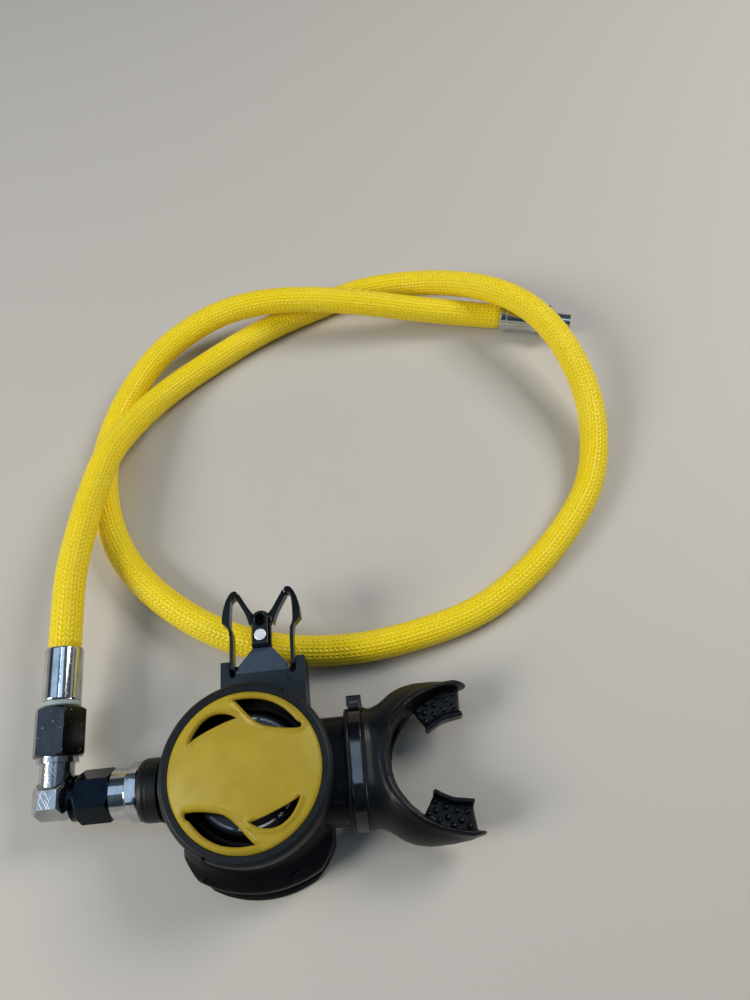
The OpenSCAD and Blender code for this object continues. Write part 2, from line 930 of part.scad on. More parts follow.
module demand_lever() {
    path = [
        [pin_x + 0.4, pin_z + 8.4],
        [pin_x + 1.6, lever_top - 8],
        [pin_x + 4.4, lever_top - 3.2],
        [lever_tip_x - 1.6, lever_top - 0.8],
        [lever_tip_x, lever_top - 0.7]
    ];
    leg_in = stem_r + 0.3;
    color("lightsteelblue")
        difference() {
            union() {
                // Arm up to the diaphragm
                translate([0, 2.5, 0])
                    rotate([90, 0, 0])
                        linear_extrude(height = 5)
                            polygon(ribbon(path, [fork_t, fork_t, fork_t, fork_t, fork_t]));
                // Fork on both sides of the poppet's stem
                translate([pin_x - fork_t / 2, -3.2, pin_z])
                    cube([fork_t, 6.4, 9]);
                translate([pin_x, 0, pin_z])
                    rotate([90, 0, 0])
                        cylinder(r = 1.5, h = 6.4, center = true);
            }
            translate([pin_x, 0, pin_z])
                rotate([90, 0, 0])
                    cylinder(r = pin_r + run_gap, h = 20, center = true);
            translate([pin_x - 5, -leg_in, pin_z + 2.4])
                cube([10, 2 * leg_in, 2 * (4.6 - 2.4) + 0.6]);
        }
}

// ---------- Swivel elbow ----------

module coupling_nut() {
    from = -nut_front - coupling_l;
    shoulder = stem_flange_x - stem_flange_t - seat_gap;
    color("#1d1f22")
        on_axis()
            difference() {
                union() {
                    bar_x(coupling_af / 2 - 0.2, from, from + 2.5);
                    nut_x(coupling_af, from + 2.2, -nut_front, 1.2);
                }
                bar_x(stem_neck_r + run_gap, from - 1, shoulder_x);
                bar_x(inlet_thread_r + run_gap, shoulder, shoulder_x + 1);
            }
}

module swivel_o_ring() {
    color("black")
        on_axis()
            o_ring_x(thread_x + 2.2, nose_r - 0.55, 0.55);
}

module elbow() {
    neck_at = elbow_reach + stem_flange_x;
    across_edges = elbow_side * 1.03;
    color("silver")
        difference() {
            on_hose_side()
                difference() {
                    union() {
                        intersection_for(turn = [[0, 0, 0], [45, 0, 0], [0, 45, 0], [0, 0, 45]])
                            rotate(turn)
                                cube(
                                    turn == [0, 0, 0] ? elbow_side : across_edges,
                                    center = true
                                );
                        // Swivel stem, with the flange that the coupling nut pulls on
                        turned_x([
                            [0, 0],
                            [0, stem_neck_r],
                            [neck_at - stem_flange_t, stem_neck_r],
                            [neck_at - stem_flange_t, stem_flange_r],
                            [neck_at, stem_flange_r],
                            [neck_at, nose_r],
                            [neck_at + nose_l, nose_r],
                            [neck_at + nose_l, 0]
                        ]);
                        // Outlet neck, shoulder and thread for the hose nut
                        turned_y([
                            [0, 0],
                            [0, neck_r],
                            [neck_end, neck_r],
                            [neck_end, neck_r + 1.3],
                            [neck_end + 1.8, neck_r + 1.3],
                            [neck_end + 1.8, inlet_thread_r],
                            [nut_start + 8, inlet_thread_r],
                            [nut_start + 8, 0]
                        ]);
                    }
                    bar_x(2.4, 0, neck_at + nose_l + 1);
                    bar_y(3, 0, nut_start + 9);
                }
            // Groove for the swivel's o-ring
            on_axis()
                translate([thread_x + 2.2, 0, 0])
                    rotate([0, 90, 0])
                        rotate_extrude()
                            translate([nose_r - 1.1, -0.7])
                                square([2, 1.4]);
        }
}

module hose_nut() {
    color("darkgray")
        on_hose_side()
            rotate([-90, 0, 0])
                difference() {
                    intersection() {
                        translate([0, 0, nut_start])
                            cylinder(r = hose_nut_af / sqrt(3), h = hose_nut_l, $fn = 6);
                        rotate_extrude()
                            polygon([
                                [0, nut_start],
                                [hose_nut_af / 2 - 0.1, nut_start],
                                [hose_nut_af / sqrt(3), nut_start + 1],
                                [hose_nut_af / sqrt(3), nut_end - 1.4],
                                [hose_nut_af / 2 - 0.4, nut_end],
                                [0, nut_end]
                            ]);
                    }
                    translate([0, 0, nut_start - 1])
                        cylinder(r = inlet_thread_r + run_gap, h = 13);
                    cylinder(r = 5 + run_gap, h = nut_end + 1);
                }
}

module hose_stem() {
    flange_at = nut_start + 8 + slip_gap;
    color("silver")
        on_hose_side()
            difference() {
                turned_y([
                    [flange_at, 0],
                    [flange_at, inlet_thread_r - 0.4],
                    [flange_at + 2, inlet_thread_r - 0.4],
                    [flange_at + 2, 5],
                    [ferrule_start, 5],
                    [ferrule_start, 0]
                ]);
                bar_y(2.6, flange_at - 1, ferrule_start + 1);
                translate([0, flange_at, 0])
                    rotate([-90, 0, 0])
                        difference() {
                            translate([0, 0, -1])
                                cylinder(r = 5.6, h = 2.1);
                            translate([0, 0, -2])
                                cylinder(r = 3.9, h = 4);
                        }
            }
}

module hose_stem_o_ring() {
    color("black")
        on_hose_side()
            o_ring_y(nut_start + 8 + slip_gap + 0.4, 4.75, 0.6);
}

module hose_gasket() {
    from = nut_end + seat_gap;
    color("#8fa0a0")
        on_hose_side()
            difference() {
                turned_y([
                    [from, 0],
                    [from, ferrule_r - 0.5],
                    [from + 0.5, ferrule_r],
                    [from + gasket_t, ferrule_r],
                    [from + gasket_t, 0]
                ]);
                bar_y(5, from - 1, from + gasket_t + 1);
            }
}

// ---------- Hose and its ends ----------

module ferrule(length) {
    difference() {
        turned_y([
            [0, 0],
            [0, ferrule_r - 0.7],
            [0.8, ferrule_r],
            [3.2, ferrule_r],
            [3.6, ferrule_r - 0.35],
            [length - 3.6, ferrule_r - 0.35],
            [length - 3.2, ferrule_r],
            [length - 0.5, ferrule_r],
            [length, ferrule_r - 0.4],
            [length, 0]
        ]);
        bar_y(2.6, -1, length + 1);
    }
}

// Plain sleeve with rounded ends, pressed on the hose
module near_ferrule() {
    length = ferrule_end - ferrule_start;
    edge = 0.9;
    color("silver")
        on_hose_side()
            translate([0, ferrule_start, 0])
                difference() {
                    turned_y(concat(
                        [[0, 0]],
                        arc([edge, ferrule_r - edge], edge, edge, 180, 90, 4),
                        arc([length - edge, ferrule_r - edge], edge, edge, 90, 0, 4),
                        [[length, 0]]
                    ));
                    bar_y(2.6, -1, length + 1);
                }
}

// Tube swept along the hose's path
module hose() {
    path = smooth(hose_path);
    last = len(path) - 1;
    function along(i) =
        i == 0 ? [0, cos(elbow_lean), sin(elbow_lean)]
        : i == last ? [cos(far_turn), sin(far_turn), 0]
        : let (d = path[i + 1] - path[i - 1]) d / norm(d);
    function across(i) = let (c = cross(along(i), [0, 0, 1])) c / norm(c);
    points = [
        for (i = [0:last], k = [0:hose_sides - 1])
            path[i]
            + hose_d / 2 * cos(k * 360 / hose_sides) * across(i)
            + hose_d / 2 * sin(k * 360 / hose_sides) * cross(across(i), along(i))
    ];
    faces = concat(
        [[for (k = [hose_sides - 1:-1:0]) k]],
        [for (i = [0:last - 1], k = [0:hose_sides - 1])
            let (n = (k + 1) % hose_sides)
            [
                i * hose_sides + k,
                i * hose_sides + n,
                (i + 1) * hose_sides + n,
                (i + 1) * hose_sides + k
            ]],
        [[for (k = [0:hose_sides - 1]) last * hose_sides + k]]
    );
    color("yellow")
        polyhedron(points, faces);
}

module far_ferrule() {
    color("silver")
        on_far_end()
            rotate([0, 0, -90])
                ferrule(far_ferrule_l);
}

module far_fitting() {
    hex_end = far_ferrule_l + port_hex_l;
    neck = hex_end + port_neck_l;
    color("silver")
        on_far_end()
            difference() {
                union() {
                    nut_x(port_af, far_ferrule_l, hex_end, 0.7);
                    turned_x([
                        [hex_end - 0.1, 0],
                        [hex_end - 0.1, 6.2],
                        [hex_end + 0.8, 6.2],
                        [hex_end + 0.8, port_thread_r - 0.6],
                        [neck, port_thread_r - 0.6],
                        [neck, port_thread_r],
                        [neck + port_thread_l, port_thread_r],
                        [neck + port_thread_l, 0]
                    ]);
                }
                bar_x(2.4, far_ferrule_l - 1, neck + port_thread_l + 1);
            }
}

module far_o_ring() {
    color("black")
        on_far_end()
            o_ring_x(far_ferrule_l + port_hex_l + 1.6, port_thread_r + 0.1, 0.7);
}

// ---------- Mouthpiece ----------

// Outline of a bite tab in plan, measured from the shield's middle
tab_plan = [
    [-18.9, 19.6], [-14.5, 23], [-9, 25.6], [0.4, 26.6],
    [-0.4, 16.2], [-7, 15], [-10.5, 13.4], [-13.7, 11.4]
];
tab_lip = [[-14, 10.8], [-10.6, 12.9], [-7, 14.6], [0.4, 15.8]];
tab_lip_w = 1.8;
tab_lip_h = 8;

// Wall of the shield in plan, set back by some distance
module shield_wall(back) {
    bend = arc([0, 0], shield_rx + back, shield_ry, 94, 266, 24);
    wall = concat([[shield_tip, shield_ry - 0.6]], bend, [[shield_tip, 0.6 - shield_ry]]);
    widths = concat([1.4], [for (i = [0:24]) shield_t + 0.8 * pow(sin(i * 7.5), 2)], [1.4]);
    translate([shield_mid_x, 0])
        polygon(ribbon(wall, widths));
}

// Everything inside the shield's curve in plan
module shield_inside(back) {
    translate([shield_mid_x, 0])
        polygon(arc([0, 0], shield_rx + back, shield_ry, 90, 270, 24));
}

// One step of the shield's curl, above and below the middle
module curl(step) {
    for (z = [axis_z + step[0], axis_z - step[1]])
        translate([0, 0, z])
            linear_extrude(height = step[1] - step[0])
                children();
}

module shield() {
    intersection() {
        for (step = shield_steps)
            curl(step)
                shield_wall(step[2]);
        translate([0, 0, axis_z])
            oval_x(shield_ry - 11.6, shield_h / 2, tube_end, tube_end + 60);
        // The shield's ends are round, seen from the side
        translate([shield_mid_x + shield_tip - shield_end_r, 0, axis_z]) {
            translate([-big, -big / 2, -big / 2])
                cube([big, big, big]);
            translate([0, big / 2, 0])
                rotate([90, 0, 0])
                    cylinder(r = shield_end_r, h = big);
        }
    }
}

module neck_station(step) {
    translate([tube_end + step[0], 0, axis_z])
        oval_x(step[1], step[2], 0, 0.02, $fn = 32);
}

module neck() {
    difference() {
        union()
            for (i = [0:len(neck_steps) - 2])
                hull() {
                    neck_station(neck_steps[i]);
                    neck_station(neck_steps[i + 1]);
                }
        for (step = shield_steps)
            curl(step)
                shield_inside(step[2]);
    }
}

module mouthpiece() {
    color("#3a3d40")
        difference() {
            union() {
                on_axis()
                    oval_x(tube_half_y, sleeve_r, sleeve_x, tube_end + 0.02);
                // Ridges that keep the tie in place
                for (x = [sleeve_x, tie_x + tie_w + 0.1])
                    on_axis()
                        oval_x(tube_half_y, sleeve_r + 1, x, x + tie_x - sleeve_x - 0.1);
                neck();
                shield();
                for (s = [0, 1])
                    mirror([0, s, 0])
                        translate([shield_mid_x, 0, axis_z]) {
                            translate([0, 0, -tab_t / 2])
                                linear_extrude(height = tab_t)
                                    polygon(tab_plan);
                            // Raised lip at the tab's inner edge
                            translate([0, 0, -tab_lip_h / 2])
                                linear_extrude(height = tab_lip_h)
                                    polygon(ribbon(tab_lip, [for (p = tab_lip) tab_lip_w]));
                        }
            }
            on_axis() {
                oval_x(tube_half_y, tube_r, sleeve_x - 1, tube_end);
                oval_x(tube_half_y, tube_bore_r, tube_end - 1, shield_mid_x - 19.5);
            }
        }
}

module mouthpiece_tie() {
    head_y = tube_half_y + sleeve_r + tie_t;
    color("#1a1b1d")
        on_axis()
            difference() {
                union() {
                    oval_x(tube_half_y, sleeve_r + tie_t, tie_x, tie_x + tie_w);
                    translate([tie_x, head_y - 1.4, -1.5])
                        cube([tie_w, 2, 7.4]);
                    translate([tie_x - 0.6, head_y - 0.05, -1.5])
                        cube([tie_w + 1.3, 3.8, 7.4]);
                }
                oval_x(tube_half_y, sleeve_r, tie_x - 1, tie_x + tie_w + 1);
                translate([tie_x + 0.8, head_y + 0.6, -3])
                    cube([tie_w - 1.6, 1.4, 12]);
            }
}

// ---------- Holder clip ----------

module on_clip() {
    translate([clip_x, 0, 0])
        children();
}

module clip_bracket() {
    half = bracket_w / 2;
    base_z = bracket_top - bracket_depth;
    slot_r = (half - post_w - slot_in) / 2;
    mark_r = 3;
    color("#3b3f45")
        difference() {
            on_clip() {
                translate([-half, 0, base_z])
                    cube([bracket_w, base_end, bracket_depth]);
                for (s = [-1, 1])
                    translate([s * (half - post_w / 2) - post_w / 2, 0, base_z])
                        cube([post_w, post_end, bracket_depth]);
            }
            // Seat on the drum, and room for the ring above it
            translate([0, 0, -1])
                cylinder(r = drum_r, h = big);
            on_axis()
                oval_x(tube_half_y, tube_r, 0, big);
            translate([0, 0, rim_z - ring_skirt - seat_gap])
                cylinder(r = ring_r + slip_gap, h = big);
            translate([-big / 2, -big, -1])
                cube([big, big + 10, big]);
            on_clip() {
                // Round ends of the slots that the prongs stand in
                for (s = [-1, 1])
                    translate([s * (slot_in + slot_r), base_end, 0])
                        cylinder(r = slot_r, h = big);
                // Edge of the fixing screw's seat
                translate([half - post_w - 0.6, base_end - 1.9, bracket_top - 0.4])
                    difference() {
                        cylinder(r = mark_r, h = 1);
                        cylinder(r = mark_r - 0.4, h = 1);
                        translate([0, -mark_r, 0])
                            cube(2 * mark_r);
                    }
            }
        }
}

module clip_plate() {
    // Leaves the prongs' feet room to swing in
    waist = strip_in - foot_swing - seat_gap;
    shoulder_y = base_end + 3;
    color("#4b5058")
        on_clip()
            translate([0, 0, plate_top - plate_h]) {
                linear_extrude(height = plate_h)
                    polygon([
                        [-slot_in, base_end + 0.1],
                        [slot_in, base_end + 0.1],
                        [slot_in, foot_end - seat_gap],
                        [waist, foot_end - seat_gap],
                        [waist, shoulder_y],
                        [hub_half - 0.2, hub_start + 0.4],
                        [-hub_half + 0.2, hub_start + 0.4],
                        [-waist, shoulder_y],
                        [-waist, foot_end - seat_gap],
                        [-slot_in, foot_end - seat_gap]
                    ]);
                translate([-hub_half + 0.6, hub_start, 0])
                    cube([2 * hub_half - 1.2, hub_end - hub_start, tongue_t]);
            }
}

// The hub's outside: sides that slope in towards the top, and a round end
module hub() {
    hub_z = plate_top - plate_h + tongue_t;
    slope_z = hub_top - 2.2;
    translate([0, hub_end, 0])
        rotate([90, 0, 0])
            linear_extrude(height = hub_end - hub_start - 0.5)
                polygon([
                    [-hub_half, hub_z],
                    [hub_half, hub_z],
                    [hub_half, slope_z],
                    [hub_half - hub_slope, hub_top],
                    [hub_slope - hub_half, hub_top],
                    [-hub_half, slope_z]
                ]);
    translate([0, hub_end, 0]) {
        translate([0, 0, hub_z])
            cylinder(r = hub_half, h = slope_z - hub_z);
        translate([0, 0, slope_z])
            cylinder(r1 = hub_half, r2 = hub_half - hub_slope, h = hub_top - slope_z);
    }
}

module clip_yoke() {
    leg_end = [loop_x - 0.6, loop_y];
    leg = concat(curve([3, 56.6], [5, 60], [7.4, 64.6], leg_end, 8), [leg_end]);
    leg_w = [4.4, 3.4, 2.7, 2.3, 2.1, 2.1, 2.1, 2.1, 2.1];
    color("#202226")
        on_clip()
            difference() {
                union() {
                    hub();
                    for (s = [0, 1])
                        mirror([s, 0, 0])
                            translate([0, 0, prong_z])
                                linear_extrude(height = prong_h)
                                    difference() {
                                        polygon(ribbon(leg, leg_w));
                                        translate([loop_x, loop_y])
                                            circle(r = loop_r + seat_gap);
                                    }
                }
                // Clear of the plate's tongue, below the hub
                translate([-hub_half, 0, 0])
                    cube([2 * hub_half, hub_end + hub_half, plate_top - plate_h + tongue_t]);
                // Spoon-shaped hollow in the hub's top
                translate([0, hub_end - 0.6, hub_top])
                    rotate([40, 0, 0])
                        translate([0, 0, -2.6])
                            cylinder(r = 1.9, h = 8);
                translate([0, rivet_y, 0])
                    cylinder(r = 1.5, h = big);
            }
}

// The outer leg of a prong: its loop's tip, a barbed blade and the thin strip below it
module prong() {
    outline = concat(
        [
            [loop_x + 0.3, loop_y - loop_r],
            [12, loop_y - 2.8],
            [12.3, 62],
            [12.4, 56.6],
            [12, 54.8],
            [strip_in + 0.2, 53],
            [strip_in, 50],
            [strip_in, foot_end],
            [strip_out, foot_end],
            [strip_out, 51],
            [13, 54.4]
        ],
        curve([15.6, 57.2], [15.7, 61.5], [14.4, 67], [loop_x + 1.4, loop_y + 0.9], 8),
        [[loop_x + 1.4, loop_y + 0.9], [loop_x, loop_y + loop_r]]
    );
    translate([0, 0, prong_z])
        linear_extrude(height = prong_h)
            union() {
                polygon(outline);
                translate([loop_x, loop_y])
                    circle(r = loop_r);
            }
}

module clip_prong_right() {
    color("#202226")
        on_clip()
            prong();
}

module clip_prong_left() {
    color("#202226")
        on_clip()
            mirror([1, 0, 0])
                prong();
}

module clip_rivet() {
    color("white")
        on_clip()
            translate([0, rivet_y, 0]) {
                translate([0, 0, hub_top])
                    cylinder(r = rivet_r, h = 0.5);
                translate([0, 0, plate_top - plate_h + tongue_t])
                    cylinder(r = 1.5, h = hub_top - plate_top + plate_h - tongue_t + 0.1);
            }
}

case_shell();
exhaust_cover();
exhaust_valve();
cover_ring();
slip_washer();
purge_cover();
diaphragm();
diaphragm_plate();
demand_lever();
lever_pin();
inlet_barrel();
barrel_nut();
inlet_collar();
orifice();
orifice_o_ring();
poppet();
poppet_seat();
poppet_lock_nut();
poppet_spring();
coupling_nut();
swivel_o_ring();
elbow();
hose_nut();
hose_stem();
hose_stem_o_ring();
hose_gasket();
near_ferrule();
hose();
far_ferrule();
far_fitting();
far_o_ring();
mouthpiece();
mouthpiece_tie();
clip_bracket();
clip_plate();
clip_yoke();
clip_prong_left();
clip_prong_right();
clip_rivet();
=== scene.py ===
"""Looks of a diving second stage with its swivel elbow, holder clip and braided hose.

Everything is in metres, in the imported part's frame: +X to the mouthpiece, +Y to the
holder clip and +Z up through the purge cover. The origin is on the drum's axis, on the table.
"""

import json
import logging
import math
from contextlib import contextmanager
from dataclasses import dataclass
from enum import Enum
from typing import Any, Iterable, Iterator, Sequence

import bmesh
import bpy
import numpy as np
from mathutils import Matrix, Vector, geometry


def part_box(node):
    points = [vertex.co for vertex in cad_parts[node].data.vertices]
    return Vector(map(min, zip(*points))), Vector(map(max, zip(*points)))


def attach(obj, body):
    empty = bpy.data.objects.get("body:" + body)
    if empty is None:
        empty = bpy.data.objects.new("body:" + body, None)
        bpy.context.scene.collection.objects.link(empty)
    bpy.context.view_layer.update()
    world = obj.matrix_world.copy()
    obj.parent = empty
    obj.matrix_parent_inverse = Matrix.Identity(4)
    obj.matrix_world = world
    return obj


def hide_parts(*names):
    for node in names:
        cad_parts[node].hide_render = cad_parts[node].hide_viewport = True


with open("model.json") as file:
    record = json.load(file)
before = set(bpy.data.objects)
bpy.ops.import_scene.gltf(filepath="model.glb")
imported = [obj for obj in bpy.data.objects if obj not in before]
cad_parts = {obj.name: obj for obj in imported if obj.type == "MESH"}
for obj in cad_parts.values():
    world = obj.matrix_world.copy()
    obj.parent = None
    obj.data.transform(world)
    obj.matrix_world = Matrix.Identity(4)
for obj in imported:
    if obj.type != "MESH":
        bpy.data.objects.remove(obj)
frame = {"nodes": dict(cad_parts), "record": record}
log = logging.getLogger("second_stage")

MM = 0.001
Colour = tuple[float, float, float]
Spot = tuple[float, float, float]

# Corners of a CAD mesh nearer than this, in metres, are one corner
WELD = 0.000002
# Faces of a finished mesh narrower than this, in metres, are folded away
SLIVER = 0.00001
# Faces that turn less than FLAT are one face, and those that turn more than SHARP make an edge
FLAT = math.radians(1)
SHARP = math.radians(32)

# The hose's route in metres, from the near ferrule's end to the far one's start
HOSE_ROUTE: list[Spot] = [
    (-0.0760, 0.05678, 0.02097),
    (-0.076, 0.072, 0.0223), (-0.076, 0.090, 0.0225), (-0.074, 0.110, 0.0215),
    (-0.071, 0.130, 0.0200), (-0.066, 0.150, 0.0185), (-0.058, 0.168, 0.0140),
    (-0.044, 0.188, 0.0090), (-0.022, 0.207, 0.0065), (0.005, 0.224, 0.0065),
    (0.032, 0.236, 0.0065), (0.060, 0.245, 0.0070), (0.088, 0.243, 0.0105),
    (0.114, 0.231, 0.0180), (0.133, 0.215, 0.0235), (0.146, 0.198, 0.0240),
    (0.155, 0.178, 0.0210), (0.160, 0.156, 0.0155), (0.159, 0.134, 0.0100),
    (0.152, 0.113, 0.0072), (0.138, 0.094, 0.0065), (0.118, 0.075, 0.0065),
    (0.094, 0.060, 0.0065), (0.066, 0.052, 0.0065), (0.038, 0.049, 0.0065),
    (0.010, 0.052, 0.0065), (-0.017, 0.062, 0.0065), (-0.042, 0.080, 0.0065),
    (-0.060, 0.102, 0.0065), (-0.070, 0.128, 0.0065), (-0.072, 0.156, 0.0065),
    (-0.064, 0.186, 0.0075), (-0.046, 0.211, 0.0125), (-0.020, 0.226, 0.0180),
    (0.005, 0.231, 0.0205), (0.032, 0.230, 0.0205), (0.060, 0.227, 0.0170),
    (0.086, 0.224, 0.0120), (0.110, 0.221, 0.0082), (0.1295, 0.2172, 0.00735),
]


class Grain(Enum):
    """Textures of moulded plastic: bumps per metre, finer octaves and depth in metres."""

    SATIN = (5200.0, 2.0, 0.00003)
    PEBBLED = (2100.0, 1.0, 0.00007)
    SPECKLED = (2300.0, 2.0, 0.00006)
    GLOSSY = (5200.0, 2.0, 0.000006)


class Wire:
    """A shader socket whose arithmetic adds Math nodes to its node tree."""

    def __init__(self, shader: "Shader", socket: bpy.types.NodeSocket) -> None:
        """Wraps an output socket of one of a shader's nodes."""
        self.shader = shader
        self.socket = socket

    def math(self, operation: str, *others: "Wire | float") -> "Wire":
        """Adds a Math node whose inputs are this value and others, and returns its result."""
        values = dict(enumerate((self, *others)))
        return self.shader.add("ShaderNodeMath", {"operation": operation}, values)

    def __add__(self, other: "Wire | float") -> "Wire":
        """Returns the sum."""
        return self.math("ADD", other)

    __radd__ = __add__

    def __sub__(self, other: "Wire | float") -> "Wire":
        """Returns the difference."""
        return self.math("SUBTRACT", other)

    def __rsub__(self, other: float) -> "Wire":
        """Returns other minus this value."""
        return (self * -1.0) + other

    def __mul__(self, other: "Wire | float") -> "Wire":
        """Returns the product."""
        return self.math("MULTIPLY", other)

    __rmul__ = __mul__

    def __truediv__(self, other: "Wire | float") -> "Wire":
        """Returns the quotient."""
        return self.math("DIVIDE", other)

    def __pow__(self, power: float) -> "Wire":
        """Returns this value raised to a power."""
        return self.math("POWER", power)

    def __mod__(self, other: float) -> "Wire":
        """Returns the remainder, always positive."""
        return self.math("FLOORED_MODULO", other)

    def __abs__(self) -> "Wire":
        """Returns the size without its sign."""
        return self.math("ABSOLUTE")

    def floor(self) -> "Wire":
        """Returns the whole part below this value."""
        return self.math("FLOOR")

    def clamp(self) -> "Wire":
        """Returns the value kept between 0 and 1."""
        return self.math("MAXIMUM", 0.0).math("MINIMUM", 1.0)

    def between(self, low: float, high: float) -> "Wire":
        """Returns a smooth step from 0 at low to 1 at high, which may be the lower one."""
        return self.shader.add(
            "ShaderNodeMapRange",
            {"interpolation_type": "SMOOTHSTEP"},
            {"Value": self, "From Min": low, "From Max": high},
        )


class Shader:
    """Builds the nodes of one material, or of the world."""

    def __init__(self, name: str, world: bool = False) -> None:
        """Starts an empty material called name, or a world where world is set."""
        self.owner = (bpy.data.worlds if world else bpy.data.materials).new(name)
        self.owner.use_nodes = True
        self.tree = self.owner.node_tree
        self.tree.nodes.clear()

    def add(
        self,
        kind: str,
        settings: dict[str, Any] | None = None,
        sockets: dict[str | int, Any] | None = None,
        out: str | int = 0,
    ) -> Wire:
        """Adds any node.

        Args:
            kind: the node's type.
            settings: its properties, and "stops" for a ramp, which are set first.
            sockets: values or wires for its inputs, by name or number.
            out: the output that is returned, by name or number.

        Returns:
            The chosen output.
        """
        node = self.tree.nodes.new(kind)
        for key, value in (settings or {}).items():
            if key == "stops":
                self.set_stops(node.color_ramp, value)
            else:
                setattr(node, key, value)
        for key, value in (sockets or {}).items():
            target = node.inputs[key]
            if isinstance(value, Wire):
                self.tree.links.new(value.socket, target)
            elif isinstance(value, tuple) and target.type == "RGBA" and len(value) == 3:
                target.default_value = (*value, 1.0)
            else:
                target.default_value = value
        return Wire(self, node.outputs[out])

    @staticmethod
    def set_stops(ramp: bpy.types.ColorRamp, stops: Sequence[tuple[float, Colour]]) -> None:
        """Gives a ramp its stops, each a place from 0 to 1 and a colour."""
        while len(ramp.elements) < len(stops):
            ramp.elements.new(0.5)
        for element, (place, colour) in zip(ramp.elements, stops):
            element.position = place
            element.color = (*colour, 1.0)

    def place(self) -> Wire:
        """Returns the position on the object in metres."""
        return self.add("ShaderNodeTexCoord", out="Object")

    def stretched(self, scale: Spot, turn: float = 0.0) -> Wire:
        """Returns the position scaled along each axis and turned, mostly about Z."""
        turns = (turn * 0.6, turn * 0.3, turn)
        sockets = {"Vector": self.place(), "Rotation": turns, "Scale": scale}
        return self.add("ShaderNodeMapping", {"vector_type": "POINT"}, sockets)

    def part(self, vector: Wire, axis: str) -> Wire:
        """Returns a vector's X, Y or Z."""
        return self.add("ShaderNodeSeparateXYZ", sockets={"Vector": vector}, out=axis)

    def noise(
        self, size: float, detail: float = 2.0, vector: Wire | None = None, rough: float = 0.5
    ) -> Wire:
        """Returns smooth noise from 0 to 1.

        Args:
            size: features per metre, or per unit of the vector.
            detail: the number of finer octaves.
            vector: the coordinates, or the position where it is None.
            rough: how strong the finer octaves are.
        """
        sockets = {
            "Vector": vector or self.place(), "Scale": size, "Detail": detail, "Roughness": rough,
        }
        return self.add("ShaderNodeTexNoise", sockets=sockets)

    def mix(self, factor: Wire | float, first: Any, second: Any) -> Wire:
        """Returns a colour between first, at factor 0, and second, at factor 1."""
        sockets = {0: factor, 6: first, 7: second}
        return self.add("ShaderNodeMix", {"data_type": "RGBA"}, sockets, out=2)

    def bump(self, height: Wire, depth: float) -> Wire:
        """Returns a normal bent by a height, where 1 stands for a depth in metres."""
        sockets = {"Height": height, "Distance": depth, "Strength": 1.0}
        return self.add("ShaderNodeBump", sockets=sockets)

    def finish(self, **sockets: Any) -> bpy.types.Material:
        """Adds the surface shader and the output.

        Args:
            sockets: the surface's inputs, with underscores for spaces.

        Returns:
            The finished material.
        """
        values = {key.replace("_", " "): value for key, value in sockets.items()}
        surface = self.add("ShaderNodeBsdfPrincipled", sockets=values)
        self.add_output(surface, "ShaderNodeOutputMaterial")
        return self.owner

    def add_output(self, surface: Wire, kind: str) -> None:
        """Joins a surface to an output node of a kind."""
        node = self.tree.nodes.new(kind)
        self.tree.links.new(surface.socket, node.inputs["Surface"])


# ---------- Finishes ----------


def shade(colour: Colour, gain: float, lift: float = 0.0) -> Colour:
    """Returns a colour times gain plus lift, at most 1."""
    return tuple(min(1.0, lift + gain * part) for part in colour)


@dataclass(frozen=True)
class Moulding:
    """Moulded plastic with a fine texture, faint blotches and handling marks."""

    name: str
    colour: Colour
    rough: float = 0.42
    grain: Grain = Grain.SATIN
    marks: float = 0.5
    gloss: float = 0.4

    def material(self) -> bpy.types.Material:
        """Returns the plastic's material."""
        shader = Shader(self.name)
        blotch = shader.noise(90.0, 3.0)
        size, octaves, depth = self.grain.value
        fine = shader.noise(size, octaves)
        scuff_line = shader.noise(160.0, 4.0, shader.stretched((1.0, 9.0, 3.0), 0.7), 0.65)
        scuffs = scuff_line.between(0.6, 0.72) * shader.noise(60.0, 1.0).between(0.45, 0.7)
        pale = shade(self.colour, 1.6, 0.05)
        base = shader.mix(blotch.between(0.3, 0.7), shade(self.colour, 0.78), self.colour)
        base = shader.mix(scuffs * (0.35 * self.marks), base, pale)
        rough = blotch * 0.14 + (self.rough - 0.07) + scuffs * (0.2 * self.marks)
        if self.grain is Grain.SPECKLED:
            base = shader.mix(fine.between(0.5, 0.68) * 0.55, base, pale)
        return shader.finish(
            Base_Color=base,
            Roughness=rough.clamp(),
            Normal=shader.bump(fine, depth),
            Specular_IOR_Level=self.gloss,
        )


